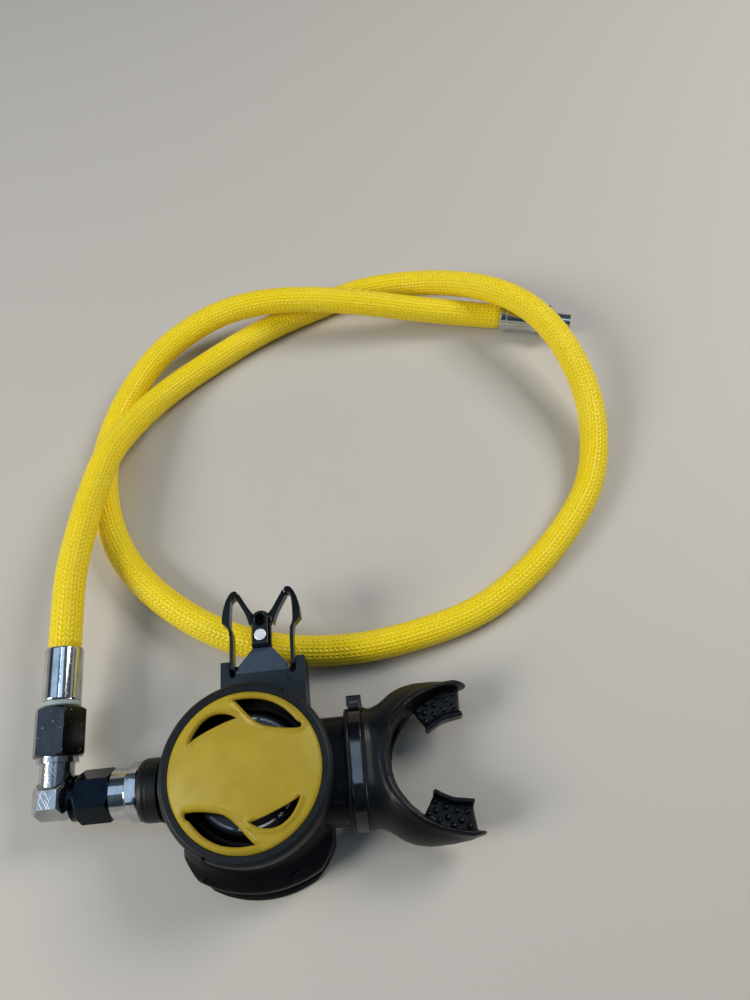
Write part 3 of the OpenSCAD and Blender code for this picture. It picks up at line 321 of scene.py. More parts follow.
@dataclass(frozen=True)
class Plating:
    """Plated brass with hairline scratches, wiped smears and small nicks.

    The scratches keep to the faces that look up where level_only is set.
    """

    name: str
    colour: Colour
    rough: float = 0.12
    scratches: float = 0.5
    level_only: bool = False
    dents: float = 0.05

    def material(self) -> bpy.types.Material:
        """Returns the plating's material."""
        shader = Shader(self.name)
        smear = shader.noise(110.0, 3.0)
        long_lines = self.strokes(shader, -0.52, 0.0012, 0.75)
        lines = long_lines + self.strokes(shader, 0.35, 0.0023, 0.5) * 0.6
        nicks = shader.noise(950.0, 1.0).between(0.72, 0.76) * self.dents
        lines = lines.clamp() * self.scratches
        wiped = smear.between(0.35, 0.7)
        if self.level_only:
            normal = shader.add("ShaderNodeTexCoord", out="Normal")
            level = shader.part(normal, "Z").between(0.9, 0.97)
            lines = lines * level
            wiped = (wiped + level * 0.3).clamp()
        base = shader.mix(wiped, self.colour, shade(self.colour, 0.72))
        base = shader.mix((lines + nicks).clamp(), base, shade(self.colour, 1.2, 0.2))
        rough = smear * 0.1 + (self.rough - 0.04) + lines * 0.4 + nicks * 0.4
        if self.level_only:
            rough = rough + level * 0.1
        normal = shader.bump(1.0 - (lines + nicks).clamp(), 0.000012)
        return shader.finish(
            Base_Color=base, Roughness=rough.clamp(), Metallic=1.0, Normal=normal
        )

    @staticmethod
    def strokes(shader: Shader, turn: float, pitch: float, share: float) -> Wire:
        """Returns 1 on short straight hairlines and 0 between them.

        Args:
            shader: the material being built.
            turn: the lines' turn in radians.
            pitch: the mean distance between lines in metres.
            share: how much of each line is there, from 0 to 1.
        """
        spot = shader.stretched((1.0, 1.0, 1.0), turn)
        across = shader.part(spot, "X") / pitch
        along = shader.part(spot, "Y")
        number = across.floor()
        shift = shader.add("ShaderNodeTexWhiteNoise", {"noise_dimensions": "1D"}, {"W": number})
        line = abs(across % 1.0 - shift * 0.6 - 0.2).between(0.13, 0.03)
        strip = {0: number * 3.7, 1: along * 190.0, 2: 0.5}
        run = shader.add("ShaderNodeCombineXYZ", sockets=strip)
        return line * shader.noise(1.0, 0.0, run).between(0.66 - 0.3 * share, 0.72 - 0.3 * share)


@dataclass(frozen=True)
class Rubber:
    """Silicone or rubber: soft sheen, fine matt grain and a little dust."""

    name: str
    colour: Colour
    rough: float = 0.5
    dust: float = 0.3

    def material(self) -> bpy.types.Material:
        """Returns the rubber's material."""
        shader = Shader(self.name)
        cloud = shader.noise(55.0, 4.0)
        fine = shader.noise(3800.0, 2.0)
        specks = shader.noise(1500.0, 1.0).between(0.7, 0.76) * self.dust
        dusty = specks * 0.5 + cloud.between(0.55, 0.9) * (0.2 * self.dust)
        base = shader.mix(cloud.between(0.3, 0.75), shade(self.colour, 0.75), self.colour)
        base = shader.mix(dusty, base, shade(self.colour, 1.7, 0.05))
        rough = cloud * 0.16 + (self.rough - 0.08)
        return shader.finish(
            Base_Color=base,
            Roughness=rough.clamp(),
            Normal=shader.bump(fine, 0.00002),
            Specular_IOR_Level=0.25,
        )


@dataclass(frozen=True)
class Braid:
    """A sleeve of plaited yarn: slanted stitches that meet in rows of small Vs."""

    name: str
    colour: Colour
    shadow: Colour
    columns: int = 26
    stitch: float = 0.0021
    slant: float = 0.6
    filaments: int = 4
    depth: float = 0.00042

    def material(self) -> bpy.types.Material:
        """Returns the sleeve's material."""
        shader = Shader(self.name)
        uv = shader.add("ShaderNodeUVMap", {"uv_map": "wrap"})
        column = shader.part(uv, "X") * float(self.columns)
        along = shader.part(uv, "Y")
        across = column % 1.0
        side = (column.floor() % 2.0) * 2.0 - 1.0
        row = along / self.stitch + side * (across - 0.5) * self.slant
        within = row % 1.0
        round_across = (1.0 - (across * 2.0 - 1.0) ** 2.0).math("MAXIMUM", 0.0)
        round_along = (1.0 - (within * 2.0 - 1.0) ** 2.0).math("MAXIMUM", 0.0)
        height = round_across**0.4 * round_along**0.45
        fibres = abs((within * float(self.filaments)) % 1.0 - 0.5) * -0.16 + 1.0
        number = {0: column.floor(), 1: row.floor(), 2: 0.0}
        yarn = shader.add("ShaderNodeCombineXYZ", sockets=number)
        each = shader.add("ShaderNodeTexWhiteNoise", sockets={"Vector": yarn})
        wear = shader.noise(45.0, 3.0)
        pale = shade(self.colour, 1.06, 0.03)
        base = shader.mix(each * 0.3 + wear.between(0.35, 0.75) * 0.35, self.colour, pale)
        base = shader.mix(height.between(0.42, 0.0) * 0.6, base, self.shadow)
        normal = shader.bump(height * fibres, self.depth)
        rough = 0.48 - height * 0.16
        return shader.finish(
            Base_Color=base, Roughness=rough.clamp(), Normal=normal, Specular_IOR_Level=0.35
        )


@dataclass(frozen=True)
class CoverPlastic:
    """Translucent-looking satin yellow with a cloudy skin, fine scratches and painted shade near
    the openings' edges.
    """

    name: str
    colour: Colour
    deep_and_edge_shade: Colour
    rough: float = 0.42

    def material(self) -> bpy.types.Material:
        """Returns the purge cover's material."""
        shader = Shader(self.name)
        cloud = shader.noise(120.0, 4.0)
        fine = shader.noise(4200.0, 3.0)
        streak = shader.stretched((1.2, 20.0, 3.0), 0.4)
        hair = shader.noise(240.0, 2.0, streak, 0.6).between(0.64, 0.7)
        # The lip attribute carries painted shade: deep amber near the openings' edges and all over
        # the underside.
        edge = shader.add("ShaderNodeAttribute", {"attribute_name": "lip"}, out="Fac")
        base = shader.mix(cloud.between(0.3, 0.75) * 0.35, self.colour, self.deep_and_edge_shade)
        base = shader.mix(edge.clamp() * 0.55, base, self.deep_and_edge_shade)
        base = shader.mix(hair * 0.1, base, (0.8, 0.74, 0.5))
        rough = cloud * 0.1 + (self.rough - 0.05) + hair * 0.1
        return shader.finish(
            Base_Color=base,
            Roughness=rough.clamp(),
            Normal=shader.bump(fine, 0.00003),
            Specular_IOR_Level=0.3,
            Subsurface_Weight=0.12,
            Subsurface_Scale=0.002,
        )


Finish = Moulding | Plating | Rubber | Braid | CoverPlastic

CASE = Moulding("case_pebbled_black", (0.002, 0.0028, 0.004), 0.36, Grain.PEBBLED, 0.5, 0.16)
RING = Moulding("ring_satin_black", (0.003, 0.005, 0.0075), 0.42, gloss=0.3)
INNER = Moulding("inner_grey_plastic", (0.03, 0.032, 0.035), 0.45, Grain.SATIN, 0.1)
BRACKET = Moulding("clip_satin_grey", (0.01, 0.019, 0.027), 0.46, gloss=0.3)
PLATE = Moulding("clip_speckled_grey", (0.026, 0.048, 0.078), 0.5, Grain.SPECKLED, 0.25)
PRONG = Moulding("prong_gloss_black", (0.002, 0.003, 0.0045), 0.16, Grain.GLOSSY, 0.2, 0.3)
TIE = Moulding("tie_gloss_black", (0.0018, 0.002, 0.003), 0.1, Grain.GLOSSY, 0.05, 0.6)
GASKET = Moulding("gasket_grey_green", (0.36, 0.44, 0.43), 0.4, Grain.GLOSSY, 0.2)
WHITE = Moulding("poppet_white", (0.8, 0.8, 0.78), 0.45, Grain.SATIN, 0.1)
DISC = Moulding("disc_dark_gloss", (0.01, 0.012, 0.015), 0.2, Grain.GLOSSY, 0.1, 0.6)
# Painted highlight: the light grey of the plate's ribs stands in for the glint along their ridge.
DISC_RIB_GLINT = Moulding("disc_rib_painted_highlight", (0.6, 0.66, 0.7), 0.3, Grain.GLOSSY, 0.1)
CHROME = Plating("polished_chrome", (0.66, 0.69, 0.7), 0.07, 0.12)
FORGED = Plating("scratched_chrome", (0.52, 0.55, 0.57), 0.1, 0.5, True, 0.3)
GUNMETAL = Plating("grey_plating", (0.07, 0.076, 0.078), 0.16, 0.09, False, 0.9)
BLACK_PLATE = Plating("black_plating", (0.011, 0.017, 0.024), 0.1, 0.03)
STEEL = Plating("bright_steel", (0.55, 0.55, 0.56), 0.2, 0.2)
BRASS = Plating("turned_brass", (0.7, 0.52, 0.22), 0.25, 0.2)
SILVER_RIVET = Plating("rivet_silver", (0.9, 0.95, 0.97), 0.55, 0.3)
# Painted shade: the bumps are a darker silicone than the mouthpiece, standing in for the shade
# around each bump.
BUMP_PAINTED_SHADE = Rubber("bump_silicone_painted_shade", (0.001, 0.0015, 0.0021), 0.36, 0.05)
SILICONE = Rubber("mouth_silicone", (0.002, 0.0035, 0.0052), 0.38, 0.1)
BLACK_RUBBER = Rubber("black_rubber", (0.006, 0.006, 0.007), 0.5, 0.1)
SLEEVE = Braid("yellow_braid", (0.98, 0.73, 0.002), (0.66, 0.38, 0.0))
COVER = CoverPlastic("cover_yellow", (0.42, 0.32, 0.025), (0.3, 0.19, 0.008))

NODE_FINISHES: dict[str, Finish] = {
    "case_shell": CASE, "exhaust_cover": CASE, "exhaust_valve": BLACK_RUBBER,
    "cover_ring": RING, "slip_washer": INNER, "diaphragm": BLACK_RUBBER,
    "diaphragm_plate": DISC, "demand_lever": STEEL, "lever_pin": STEEL,
    "inlet_barrel": CHROME, "barrel_nut": CHROME, "inlet_collar": RING,
    "orifice": BRASS, "orifice_o_ring": BLACK_RUBBER, "poppet": WHITE,
    "poppet_seat": BLACK_RUBBER, "poppet_lock_nut": STEEL, "poppet_spring": STEEL,
    "coupling_nut": BLACK_PLATE, "swivel_o_ring": BLACK_RUBBER, "elbow": FORGED,
    "hose_nut": GUNMETAL, "hose_stem": CHROME, "hose_stem_o_ring": BLACK_RUBBER,
    "hose_gasket": GASKET, "near_ferrule": CHROME, "far_ferrule": CHROME,
    "far_fitting": CHROME, "far_o_ring": BLACK_RUBBER, "mouthpiece_tie": TIE,
    "clip_bracket": BRACKET, "clip_plate": PLATE, "clip_yoke": PRONG,
    "clip_prong_left": PRONG, "clip_prong_right": PRONG, "clip_rivet": SILVER_RIVET,
}


# ---------- Meshes ----------


def linked(name: str, data: Any) -> bpy.types.Object:
    """Returns a new object for a mesh, a light or a camera, linked to the scene."""
    piece = bpy.data.objects.new(name, data)
    bpy.context.scene.collection.objects.link(piece)
    return piece


def new_object(name: str, points: Any, faces: Iterable[Sequence[int]]) -> bpy.types.Object:
    """Makes a smooth mesh object.

    Args:
        name: the object's name.
        points: its corners in metres.
        faces: the corners' numbers for each face.

    Returns:
        The new object, linked to the scene.
    """
    mesh = bpy.data.meshes.new(name)
    mesh.from_pydata([tuple(map(float, p)) for p in points], [], [tuple(f) for f in faces])
    mesh.shade_smooth()
    return linked(name, mesh)


def level_ring(radius: float, z: float, count: int) -> list[Spot]:
    """Returns a count of even points on a level circle about the drum's axis."""
    turns = np.linspace(0, 2 * math.pi, count, endpoint=False)
    return [(radius * math.cos(turn), radius * math.sin(turn), z) for turn in turns]


def tube_faces(first: int, rings: int, sides: int) -> list[tuple[int, ...]]:
    """Returns the faces of a tube with both ends closed.

    Args:
        first: the number of its first corner.
        rings: how many rings of corners it has.
        sides: how many corners a ring has.
    """
    faces: list[tuple[int, ...]] = []
    for near in range(first, first + (rings - 1) * sides, sides):
        far = near + sides
        faces += [(near + k, near + n, far + n, far + k) for k, n in neighbours(sides)]
    last = first + (rings - 1) * sides
    return [*faces, tuple(range(first, first + sides))[::-1], tuple(range(last, last + sides))]


def neighbours(count: int) -> list[tuple[int, int]]:
    """Returns each number of a ring with the next one."""
    return [(i, (i + 1) % count) for i in range(count)]


def record_slot(node: str) -> str:
    """Returns the record's material slot of a CAD node."""
    rows = frame["record"]["subparts"]
    return next(row["material_slot"] for row in rows if row["node"] == node)


def body_of(node: str) -> str:
    """Returns the body that a CAD node rides on."""
    bodies = frame["record"]["behaviour"]["bodies"]
    return next(body for body, nodes in bodies.items() if node in nodes)


def dress(piece: bpy.types.Object, material: bpy.types.Material) -> None:
    """Gives a piece one material."""
    piece.data.materials.clear()
    piece.data.materials.append(material)


def fit(
    piece: bpy.types.Object, node: str, finish: Finish | None = None, stands_for: bool = True
) -> None:
    """Dresses a piece, lets it ride with a CAD node and looks up the node's material slot.

    Args:
        piece: the detailed piece.
        node: the CAD node that it belongs to.
        finish: the piece's finish, or None for the node's.
        stands_for: whether the piece is shown in the node's place.
    """
    dress(piece, (finish or NODE_FINISHES[node]).material())
    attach(piece, body_of(node))
    if stands_for:
        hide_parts(node)
    record_slot(node)


@contextmanager
def opened(mesh: bpy.types.Mesh, weld: float) -> Iterator[bmesh.types.BMesh]:
    """Opens a mesh for changes with its corners nearer than weld joined, and writes it back."""
    built = bmesh.new()
    built.from_mesh(mesh)
    bmesh.ops.remove_doubles(built, verts=built.verts, dist=weld)
    yield built
    built.to_mesh(mesh)
    built.free()


def welded(node: str, name: str) -> bpy.types.Object:
    """Copies a CAD node with its corners joined and each flat side made one face.

    Args:
        node: the CAD node.
        name: the copy's name.

    Returns:
        The copy, whose edges are sharp where its faces meet at more than SHARP.
    """
    mesh = frame["nodes"][node].data.copy()
    mesh.name = name
    for attribute in [a for a in mesh.attributes if a.name == "custom_normal"]:
        mesh.attributes.remove(attribute)
    with opened(mesh, WELD) as built:
        bmesh.ops.dissolve_limit(built, angle_limit=FLAT, verts=built.verts, edges=built.edges)
        for edge in built.edges:
            edge.smooth = len(edge.link_faces) != 2 or edge.calc_face_angle(0.0) < SHARP
    mesh.shade_smooth()
    return linked(name, mesh)


def softened(node: str, name: str, width: float, steps: int = 2) -> bpy.types.Object:
    """Copies a CAD node with its sharp edges rounded, as moulding and machining leave them.

    Args:
        node: the CAD node.
        name: the copy's name.
        width: the rounding's width in metres.
        steps: the faces across each rounding.

    Returns:
        The rounded copy.
    """
    piece = welded(node, name)
    rounding = piece.modifiers.new("rounding", "BEVEL")
    rounding.width = width
    rounding.segments = steps
    rounding.limit_method = "ANGLE"
    rounding.angle_limit = SHARP
    rounding.use_clamp_overlap = True
    rounding.harden_normals = False
    return piece


def even_out(piece: bpy.types.Object, voxel: float) -> None:
    """Adds a modifier that rebuilds a piece with even faces of a step in metres."""
    remesh = piece.modifiers.new("even", "REMESH")
    remesh.mode = "VOXEL"
    remesh.voxel_size = voxel


def smooth_out(piece: bpy.types.Object, rounds: int, zone: str = "") -> None:
    """Adds a modifier that smooths a piece.

    Args:
        piece: the piece.
        rounds: the rounds of smoothing.
        zone: the vertex group that it is kept to, if any.
    """
    smooth = piece.modifiers.new("soft", "SMOOTH")
    smooth.factor = 0.5
    smooth.iterations = rounds
    smooth.vertex_group = zone


def bake_modifiers(piece: bpy.types.Object) -> None:
    """Turns a piece's modifiers into its mesh."""
    graph = bpy.context.evaluated_depsgraph_get()
    mesh = bpy.data.meshes.new_from_object(piece.evaluated_get(graph))
    piece.modifiers.clear()
    piece.data = mesh


def rounded(node: str, name: str, voxel: float, rounds: int) -> bpy.types.Object:
    """Copies a CAD node with every edge rounded over, as a small moulding's edges are.

    Args:
        node: the CAD node.
        name: the copy's name.
        voxel: the even mesh's step in metres.
        rounds: the rounds of smoothing.

    Returns:
        The rounded copy.
    """
    piece = welded(node, name)
    even_out(piece, voxel)
    smooth_out(piece, rounds)
    bake_modifiers(piece)
    piece.data.shade_smooth()
    return piece


def fold_slivers(piece: bpy.types.Object) -> None:
    """Turns a piece's modifiers into its mesh and folds away the faces that have no width."""
    bake_modifiers(piece)
    with opened(piece.data, SLIVER) as built:
        bmesh.ops.dissolve_degenerate(built, dist=SLIVER, edges=built.edges)


# ---------- Sub-assemblies ----------


@dataclass
class Hose:
    """The braided low-pressure hose."""

    radius: float = 0.00635
    sides: int = 28
    ring_step: float = 0.0026
    curve_steps: int = 24

    def path(self) -> list[Vector]:
        """Returns evenly spaced points along the route's smooth curve."""
        route = [Vector(p) for p in HOSE_ROUTE]
        curve: list[Vector] = []
        last = len(route) - 1
        for i in range(last):
            before, start = route[max(i - 1, 0)], route[i]
            end, after = route[i + 1], route[min(i + 2, last)]
            for step in range(self.curve_steps):
                t = step / self.curve_steps
                slope = (end - before) * t
                bend = (2 * before - 5 * start + 4 * end - after) * t * t
                swing = (3 * start - before - 3 * end + after) * t**3
                curve.append(0.5 * (2 * start + slope + bend + swing))
        curve.append(route[-1])
        spots = np.array([tuple(p) for p in curve])
        run = np.concatenate([[0.0], np.cumsum(np.linalg.norm(np.diff(spots, axis=0), axis=1))])
        count = int(run[-1] / self.ring_step)
        even = np.linspace(0.0, run[-1], count + 1)
        return [Vector([np.interp(e, run, spots[:, k]) for k in range(3)]) for e in even]

    def ring_points(self, path: list[Vector]) -> list[Vector]:
        """Returns the points of a ring around each point of the path."""
        points: list[Vector] = []
        for i, centre in enumerate(path):
            ahead = (path[min(i + 1, len(path) - 1)] - path[max(i - 1, 0)]).normalized()
            across = ahead.cross(Vector((0, 0, 1))).normalized()
            up = across.cross(ahead)
            for k in range(self.sides):
                angle = 2 * math.pi * k / self.sides
                offset = math.cos(angle) * across + math.sin(angle) * up
                points.append(centre + self.radius * offset)
        return points

    def build(self) -> list[bpy.types.Object]:
        """Returns:
            The hose.
        """
        path = self.path()
        run = [0.0]
        for here, there in zip(path, path[1:]):
            run.append(run[-1] + (there - here).length)
        corners: list[tuple[float, float]] = []
        for near, far in zip(run, run[1:]):
            for k in range(self.sides):
                low, high = k / self.sides, (k + 1) / self.sides
                corners += [(low, near), (high, near), (high, far), (low, far)]
        corners += [(0.5, 0.0)] * self.sides + [(0.5, run[-1])] * self.sides
        faces = tube_faces(0, len(path), self.sides)
        hose = new_object("hose_sleeve", self.ring_points(path), faces)
        wrap = hose.data.uv_layers.new(name="wrap")
        wrap.data.foreach_set("uv", np.array(corners, np.float32).ravel())
        fit(hose, "hose", SLEEVE)
        return [hose]


@dataclass
class Outline:
    """The openings' outlines as straight runs, with the share of the lip that each one has."""

    starts: np.ndarray
    ends: np.ndarray
    shares: np.ndarray

    def nearest(self, points: np.ndarray) -> tuple[np.ndarray, np.ndarray]:
        """Returns the distance from points to the nearest run, and its share of the lip."""
        along = self.ends - self.starts
        size = (along**2).sum(1)
        t = np.clip(((points[:, None] - self.starts[None]) * along[None]).sum(2) / size[None], 0, 1)
        near = self.starts[None] + t[..., None] * along[None]
        away = np.linalg.norm(points[:, None] - near, axis=2)
        return away.min(1), self.shares[away.argmin(1)]


@dataclass
class PurgeCover:
    """The domed yellow cover with its four openings and rolled borders.

    The flange has its lower and upper height, and the boss its bore, its radius and its
    upper height. Bands and clear are distances out from an opening's outline.
    """

    radius: float = 0.0271
    rise: float = 0.0042
    wall: float = 0.0016
    edge_z: float = 0.0400
    rim_points: int = 160
    rim_width: float = 0.0012
    rim_drop: float = 0.0007
    rim_clear: float = 0.0001
    lip_height: float = 0.00075
    lip_width: float = 0.0021
    bands: tuple[float, ...] = (0.00022, 0.0005, 0.0009, 0.0014, 0.0019)
    clear: float = 0.0022
    # How far out from an opening the painted edge shade reaches
    edge_shade_reach: float = 0.0006
    grid: float = 0.00062
    straight_side: int = 26
    skirt_points: int = 96
    skirt_drop: float = 0.0008
    flange: tuple[float, float] = (0.0364, 0.0373)
    boss: tuple[float, float, float] = (0.002, 0.003, 0.0430)
    crease: float = 0.9
    plan_weld: float = 0.000001
    skirt_weld: float = 0.0000001

    def leaves(self) -> list[np.ndarray]:
        """Returns the outlines of the four openings in millimetres."""

        def curve(a: Any, b: Any, c: Any, d: Any, n: int) -> list[np.ndarray]:
            """Returns n points from a to just before d, drawn towards b and then c."""
            a, b, c, d = (np.array(p, float) for p in (a, b, c, d))
            steps = [i / n for i in range(n)]
            return [
                (1 - t) ** 3 * a + 3 * (1 - t) ** 2 * t * b + 3 * (1 - t) * t * t * c + t**3 * d
                for t in steps
            ]

        long_leaf = (
            curve((-3.6, 24.2), (-0.5, 22), (3, 15), (8.5, 13.6), 22)
            + curve((8.5, 13.6), (13, 12.4), (17, 12), (20, 12.2), 16)
            + curve((20, 12.2), (21.2, 13), (20.6, 14.2), (19, 14.8), 8)
            + curve((19, 14.8), (16, 18.5), (10.5, 26), (-3.6, 24.2), 40)
        )
        short_leaf = (
            curve((-19.3, 10.5), (-14, 13.4), (-9, 15.4), (-2.1, 17.4), self.straight_side)
            + curve((-2.1, 17.4), (-7.5, 21.6), (-15.5, 20.6), (-19.3, 10.5), 34)
        )
        return [np.array(leaf) * turn for turn in (1, -1) for leaf in (long_leaf, short_leaf)]

    def outline(self, leaves: list[np.ndarray]) -> Outline:
        """Returns the openings' outlines as straight runs."""
        # The short leaves have no lip along the side next to the cover's middle
        straight = np.clip(np.abs(np.linspace(-1, 1, self.straight_side)) * 5 - 3.6, 0, 1)
        short = np.concatenate([straight, np.ones(len(leaves[1]) - self.straight_side)])
        long = np.ones(len(leaves[0]))
        return Outline(
            np.concatenate(leaves),
            np.concatenate([np.roll(leaf, -1, 0) for leaf in leaves]),
            np.concatenate([long, short, long, short]),
        )

    def open_points(self, outline: Outline) -> np.ndarray:
        """Returns the staggered grid of points away from the openings."""
        steps = np.arange(-self.radius, self.radius, self.grid)
        across, up = np.meshgrid(steps, steps)
        spots = np.stack([across.ravel(), up.ravel()], 1)
        spots[:, 0] += np.where((np.round(spots[:, 1] / self.grid) % 2) > 0, self.grid / 2, 0)
        far = outline.nearest(spots)[0] > self.clear
        return spots[far & (np.linalg.norm(spots, axis=1) < self.radius - 0.4 * self.grid)]

    def lip_points(self, leaves: list[np.ndarray], outline: Outline) -> np.ndarray:
        """Returns the rows of points that follow the openings' outlines."""
        rows = []
        for leaf in leaves:
            ahead = np.roll(leaf, -1, 0) - np.roll(leaf, 1, 0)
            out = np.stack([ahead[:, 1], -ahead[:, 0]], 1)
            out /= np.linalg.norm(out, axis=1)[:, None]
            for reach in self.bands:
                row = leaf + out * reach
                # Points that come nearer to another stretch of outline are left out
                rows.append(row[outline.nearest(row)[0] > 0.9 * reach])
        spots = np.concatenate(rows)
        return spots[np.linalg.norm(spots, axis=1) < self.radius - self.rim_clear]

    def plan(self, leaves: list[np.ndarray], outline: Outline) -> tuple[np.ndarray, list[Any]]:
        """Divides the cover's round plan into faces.

        Args:
            leaves: the openings' outlines in metres.
            outline: the same outlines as straight runs.

        Returns:
            The plan's points and the faces outside the openings.
        """
        spots: list[Any] = [spot[:2] for spot in level_ring(self.radius, 0.0, self.rim_points)]
        edges = neighbours(self.rim_points)
        for leaf in leaves:
            edges += [(len(spots) + i, len(spots) + n) for i, n in neighbours(len(leaf))]
            spots += [tuple(p) for p in leaf]
        for group in (self.open_points(outline), self.lip_points(leaves, outline)):
            spots += [tuple(p) for p in group]
        corners = [Vector(p) for p in spots]
        flat, _, faces, *_ = geometry.delaunay_2d_cdt(corners, edges, [], 0, self.plan_weld)
        points = np.array([tuple(p) for p in flat])
        middles = np.array([points[list(f)].mean(0) for f in faces])
        inside = np.zeros(len(faces), bool)
        for leaf in leaves:
            inside |= self.within(middles, leaf)
        return points, [tuple(f) for f, hole in zip(faces, inside) if not hole]

    def dome(self, plan: np.ndarray) -> np.ndarray:
        """Returns the dome's height over the plan's points, rolled down at the rim."""
        ball = (self.radius**2 + self.rise**2) / (2 * self.rise)
        away = np.linalg.norm(plan, axis=1)
        dome = self.edge_z + self.rise - ball + np.sqrt(ball**2 - away**2)
        rolled = np.clip((away - self.radius + self.rim_width) / self.rim_width, 0, 1)
        return dome - self.rim_drop * rolled**2

    def lip(self, distance: np.ndarray) -> np.ndarray:
        """Returns the lip's height for a height of 1, at distances from an outline."""
        reach = np.clip(distance / self.lip_width, 0, 1)
        # The crest is half the width out, and the innermost tenth rolls into the opening
        crest = np.sin(np.pi * np.clip(reach * 1.25 - 0.12, 0, 1)) ** 1.3
        return np.where(reach < 0.1, crest - 0.35 * (0.1 - reach) / 0.1, crest)

    def build(self) -> list[bpy.types.Object]:
        """Builds and dresses the cover.

        Returns:
            The cover.
        """
        leaves = [leaf * MM for leaf in self.leaves()]
        outline = self.outline(leaves)
        plan, faces = self.plan(leaves, outline)
        distance, share = outline.nearest(plan)
        dome = self.dome(plan)
        layers = (dome + self.lip_height * self.lip(distance) * share, dome - self.wall)
        points = [(x, y, z) for layer in layers for (x, y), z in zip(plan, layer)]
        count = len(plan)
        every = faces + [tuple(count + i for i in reversed(f)) for f in faces]
        sides = dict.fromkeys(side for f in faces for side in zip(f, f[1:] + f[:1]))
        every += [(b, a, count + a, count + b) for a, b in sides if (b, a) not in sides]
        cover = new_object("purge_cover_shell", points, every)
        # Painted shade: deep amber that fades out from the openings' edges on the top layer and
        # covers the whole underside.
        edge_shade = cover.data.attributes.new("lip", "FLOAT", "POINT")
        near = np.exp(-distance / self.edge_shade_reach)
        edge_shade.data.foreach_set("value", np.concatenate([near, near * 0 + 1]).astype(np.float32))
        self.add_skirt(cover)
        cover.data.update()
        fit(cover, "purge_cover", COVER)
        return [cover]

    def add_skirt(self, cover: bpy.types.Object) -> None:
        """Adds the flange under the ring and the boss over the diaphragm's plate.

        Args:
            cover: the cover to add them to.
        """
        low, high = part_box("purge_cover")
        bore = self.radius - self.wall
        flange_low, flange_high = self.flange
        boss_bore, boss_radius, boss_top = self.boss
        profiles = [
            [(bore, self.edge_z - self.wall), (bore, flange_low), (high.x, flange_low),
             (high.x, flange_high), (self.radius, flange_high),
             (self.radius, self.edge_z - self.skirt_drop)],
            [(boss_bore, boss_top), (boss_bore, low.z), (boss_radius, low.z),
             (boss_radius, boss_top)],
        ]
        with opened(cover.data, self.skirt_weld) as built:
            for profile in profiles:
                rings = [
                    [built.verts.new(spot) for spot in level_ring(r, z, self.skirt_points)]
                    for r, z in profile
                ]
                for one, two in zip(rings, rings[1:]):
                    for i, n in neighbours(self.skirt_points):
                        built.faces.new((one[i], two[i], two[n], one[n]))
            for edge in built.edges:
                edge.smooth = len(edge.link_faces) == 2 and edge.calc_face_angle(0.0) < self.crease
            for face in built.faces:
                face.smooth = True

    @staticmethod
    def within(points: np.ndarray, outline: np.ndarray) -> np.ndarray:
        """Tells which points lie inside a closed outline."""
        x, y = points[:, 0][:, None], points[:, 1][:, None]
        a, b = outline, np.roll(outline, -1, 0)
        crosses = (a[:, 1] > y) != (b[:, 1] > y)
        run = (b[:, 1] - a[:, 1]) + 1e-15
        at = (b[:, 0] - a[:, 0]) * (y - a[:, 1]) / run + a[:, 0]
        return (np.sum(crosses & (x < at), axis=1) % 2) == 1


@dataclass
class Mouthpiece:
    """The silicone mouthpiece with rounded forms and gripping bumps."""

    voxel: float = 0.0005
    shield_middle: float = 0.079
    shield_reach: tuple[float, float] = (0.028, 0.0268)
    shield_rounds: int = 22
    last_rounds: int = 5
    tab_zone: float = 0.93
    tab_depth: float = 0.021
    tab_top: float = 0.0172
    tab_under: float = 0.0148
    bump_radius: float = 0.00115
    bump_squash: float = 0.65
    bump_sides: int = 18
    bump_rows: int = 10
    bump_spots: tuple[tuple[float, float], ...] = (
        (62.4, 18.3), (65.0, 17.4), (65.2, 14.3), (68.7, 16.6), (65.8, 20.8), (69.1, 20.1),
        (72.5, 18.1), (70.8, 23.0), (73.7, 21.6), (76.3, 18.8), (76.5, 23.7),
    )

    def build(self) -> list[bpy.types.Object]:
        """Builds and dresses the mouthpiece.

        Returns:
            The body and the bumps.
        """
        body = welded("mouthpiece", "mouthpiece_body")
        even_out(body, self.voxel)
        bake_modifiers(body)
        group = body.vertex_groups.new(name="shield")
        spots = np.empty(len(body.data.vertices) * 3, np.float32)
        body.data.vertices.foreach_get("co", spots)
        x, y, _ = spots.reshape(-1, 3).T
        reach_x, reach_y = self.shield_reach
        inward = np.hypot((x - self.shield_middle) / reach_x, y / reach_y)
        tab = (inward < self.tab_zone) & (x > self.shield_middle - self.tab_depth)
        group.add(np.flatnonzero(~tab).tolist(), 1.0, "REPLACE")
        smooth_out(body, self.shield_rounds, "shield")
        smooth_out(body, self.last_rounds)
        bake_modifiers(body)
        body.vertex_groups.clear()
        body.data.shade_smooth()
        fit(body, "mouthpiece", SILICONE)
        bumps = self.bumps()
        # The bumps' darker silicone is painted shade.
        fit(bumps, "mouthpiece", BUMP_PAINTED_SHADE, stands_for=False)
        return [body, bumps]

    def bumps(self) -> bpy.types.Object:
        """Builds the round bumps on both faces of both bite tabs."""
        built = bmesh.new()
        for x, y in self.bump_spots:
            for side in (1, -1):
                for z, squash in ((self.tab_top, 1), (self.tab_under, -1)):
                    place = Matrix.Translation((x * MM, side * y * MM, z))
                    bmesh.ops.create_uvsphere(
                        built,
                        u_segments=self.bump_sides,
                        v_segments=self.bump_rows,
                        radius=self.bump_radius,
                        matrix=place @ Matrix.Diagonal((1, 1, self.bump_squash * squash, 1)),
                    )
        mesh = bpy.data.meshes.new("bite_bumps")
        bmesh.ops.recalc_face_normals(built, faces=built.faces)
        built.to_mesh(mesh)
        built.free()
        mesh.shade_smooth()
        return linked("bite_bumps", mesh)


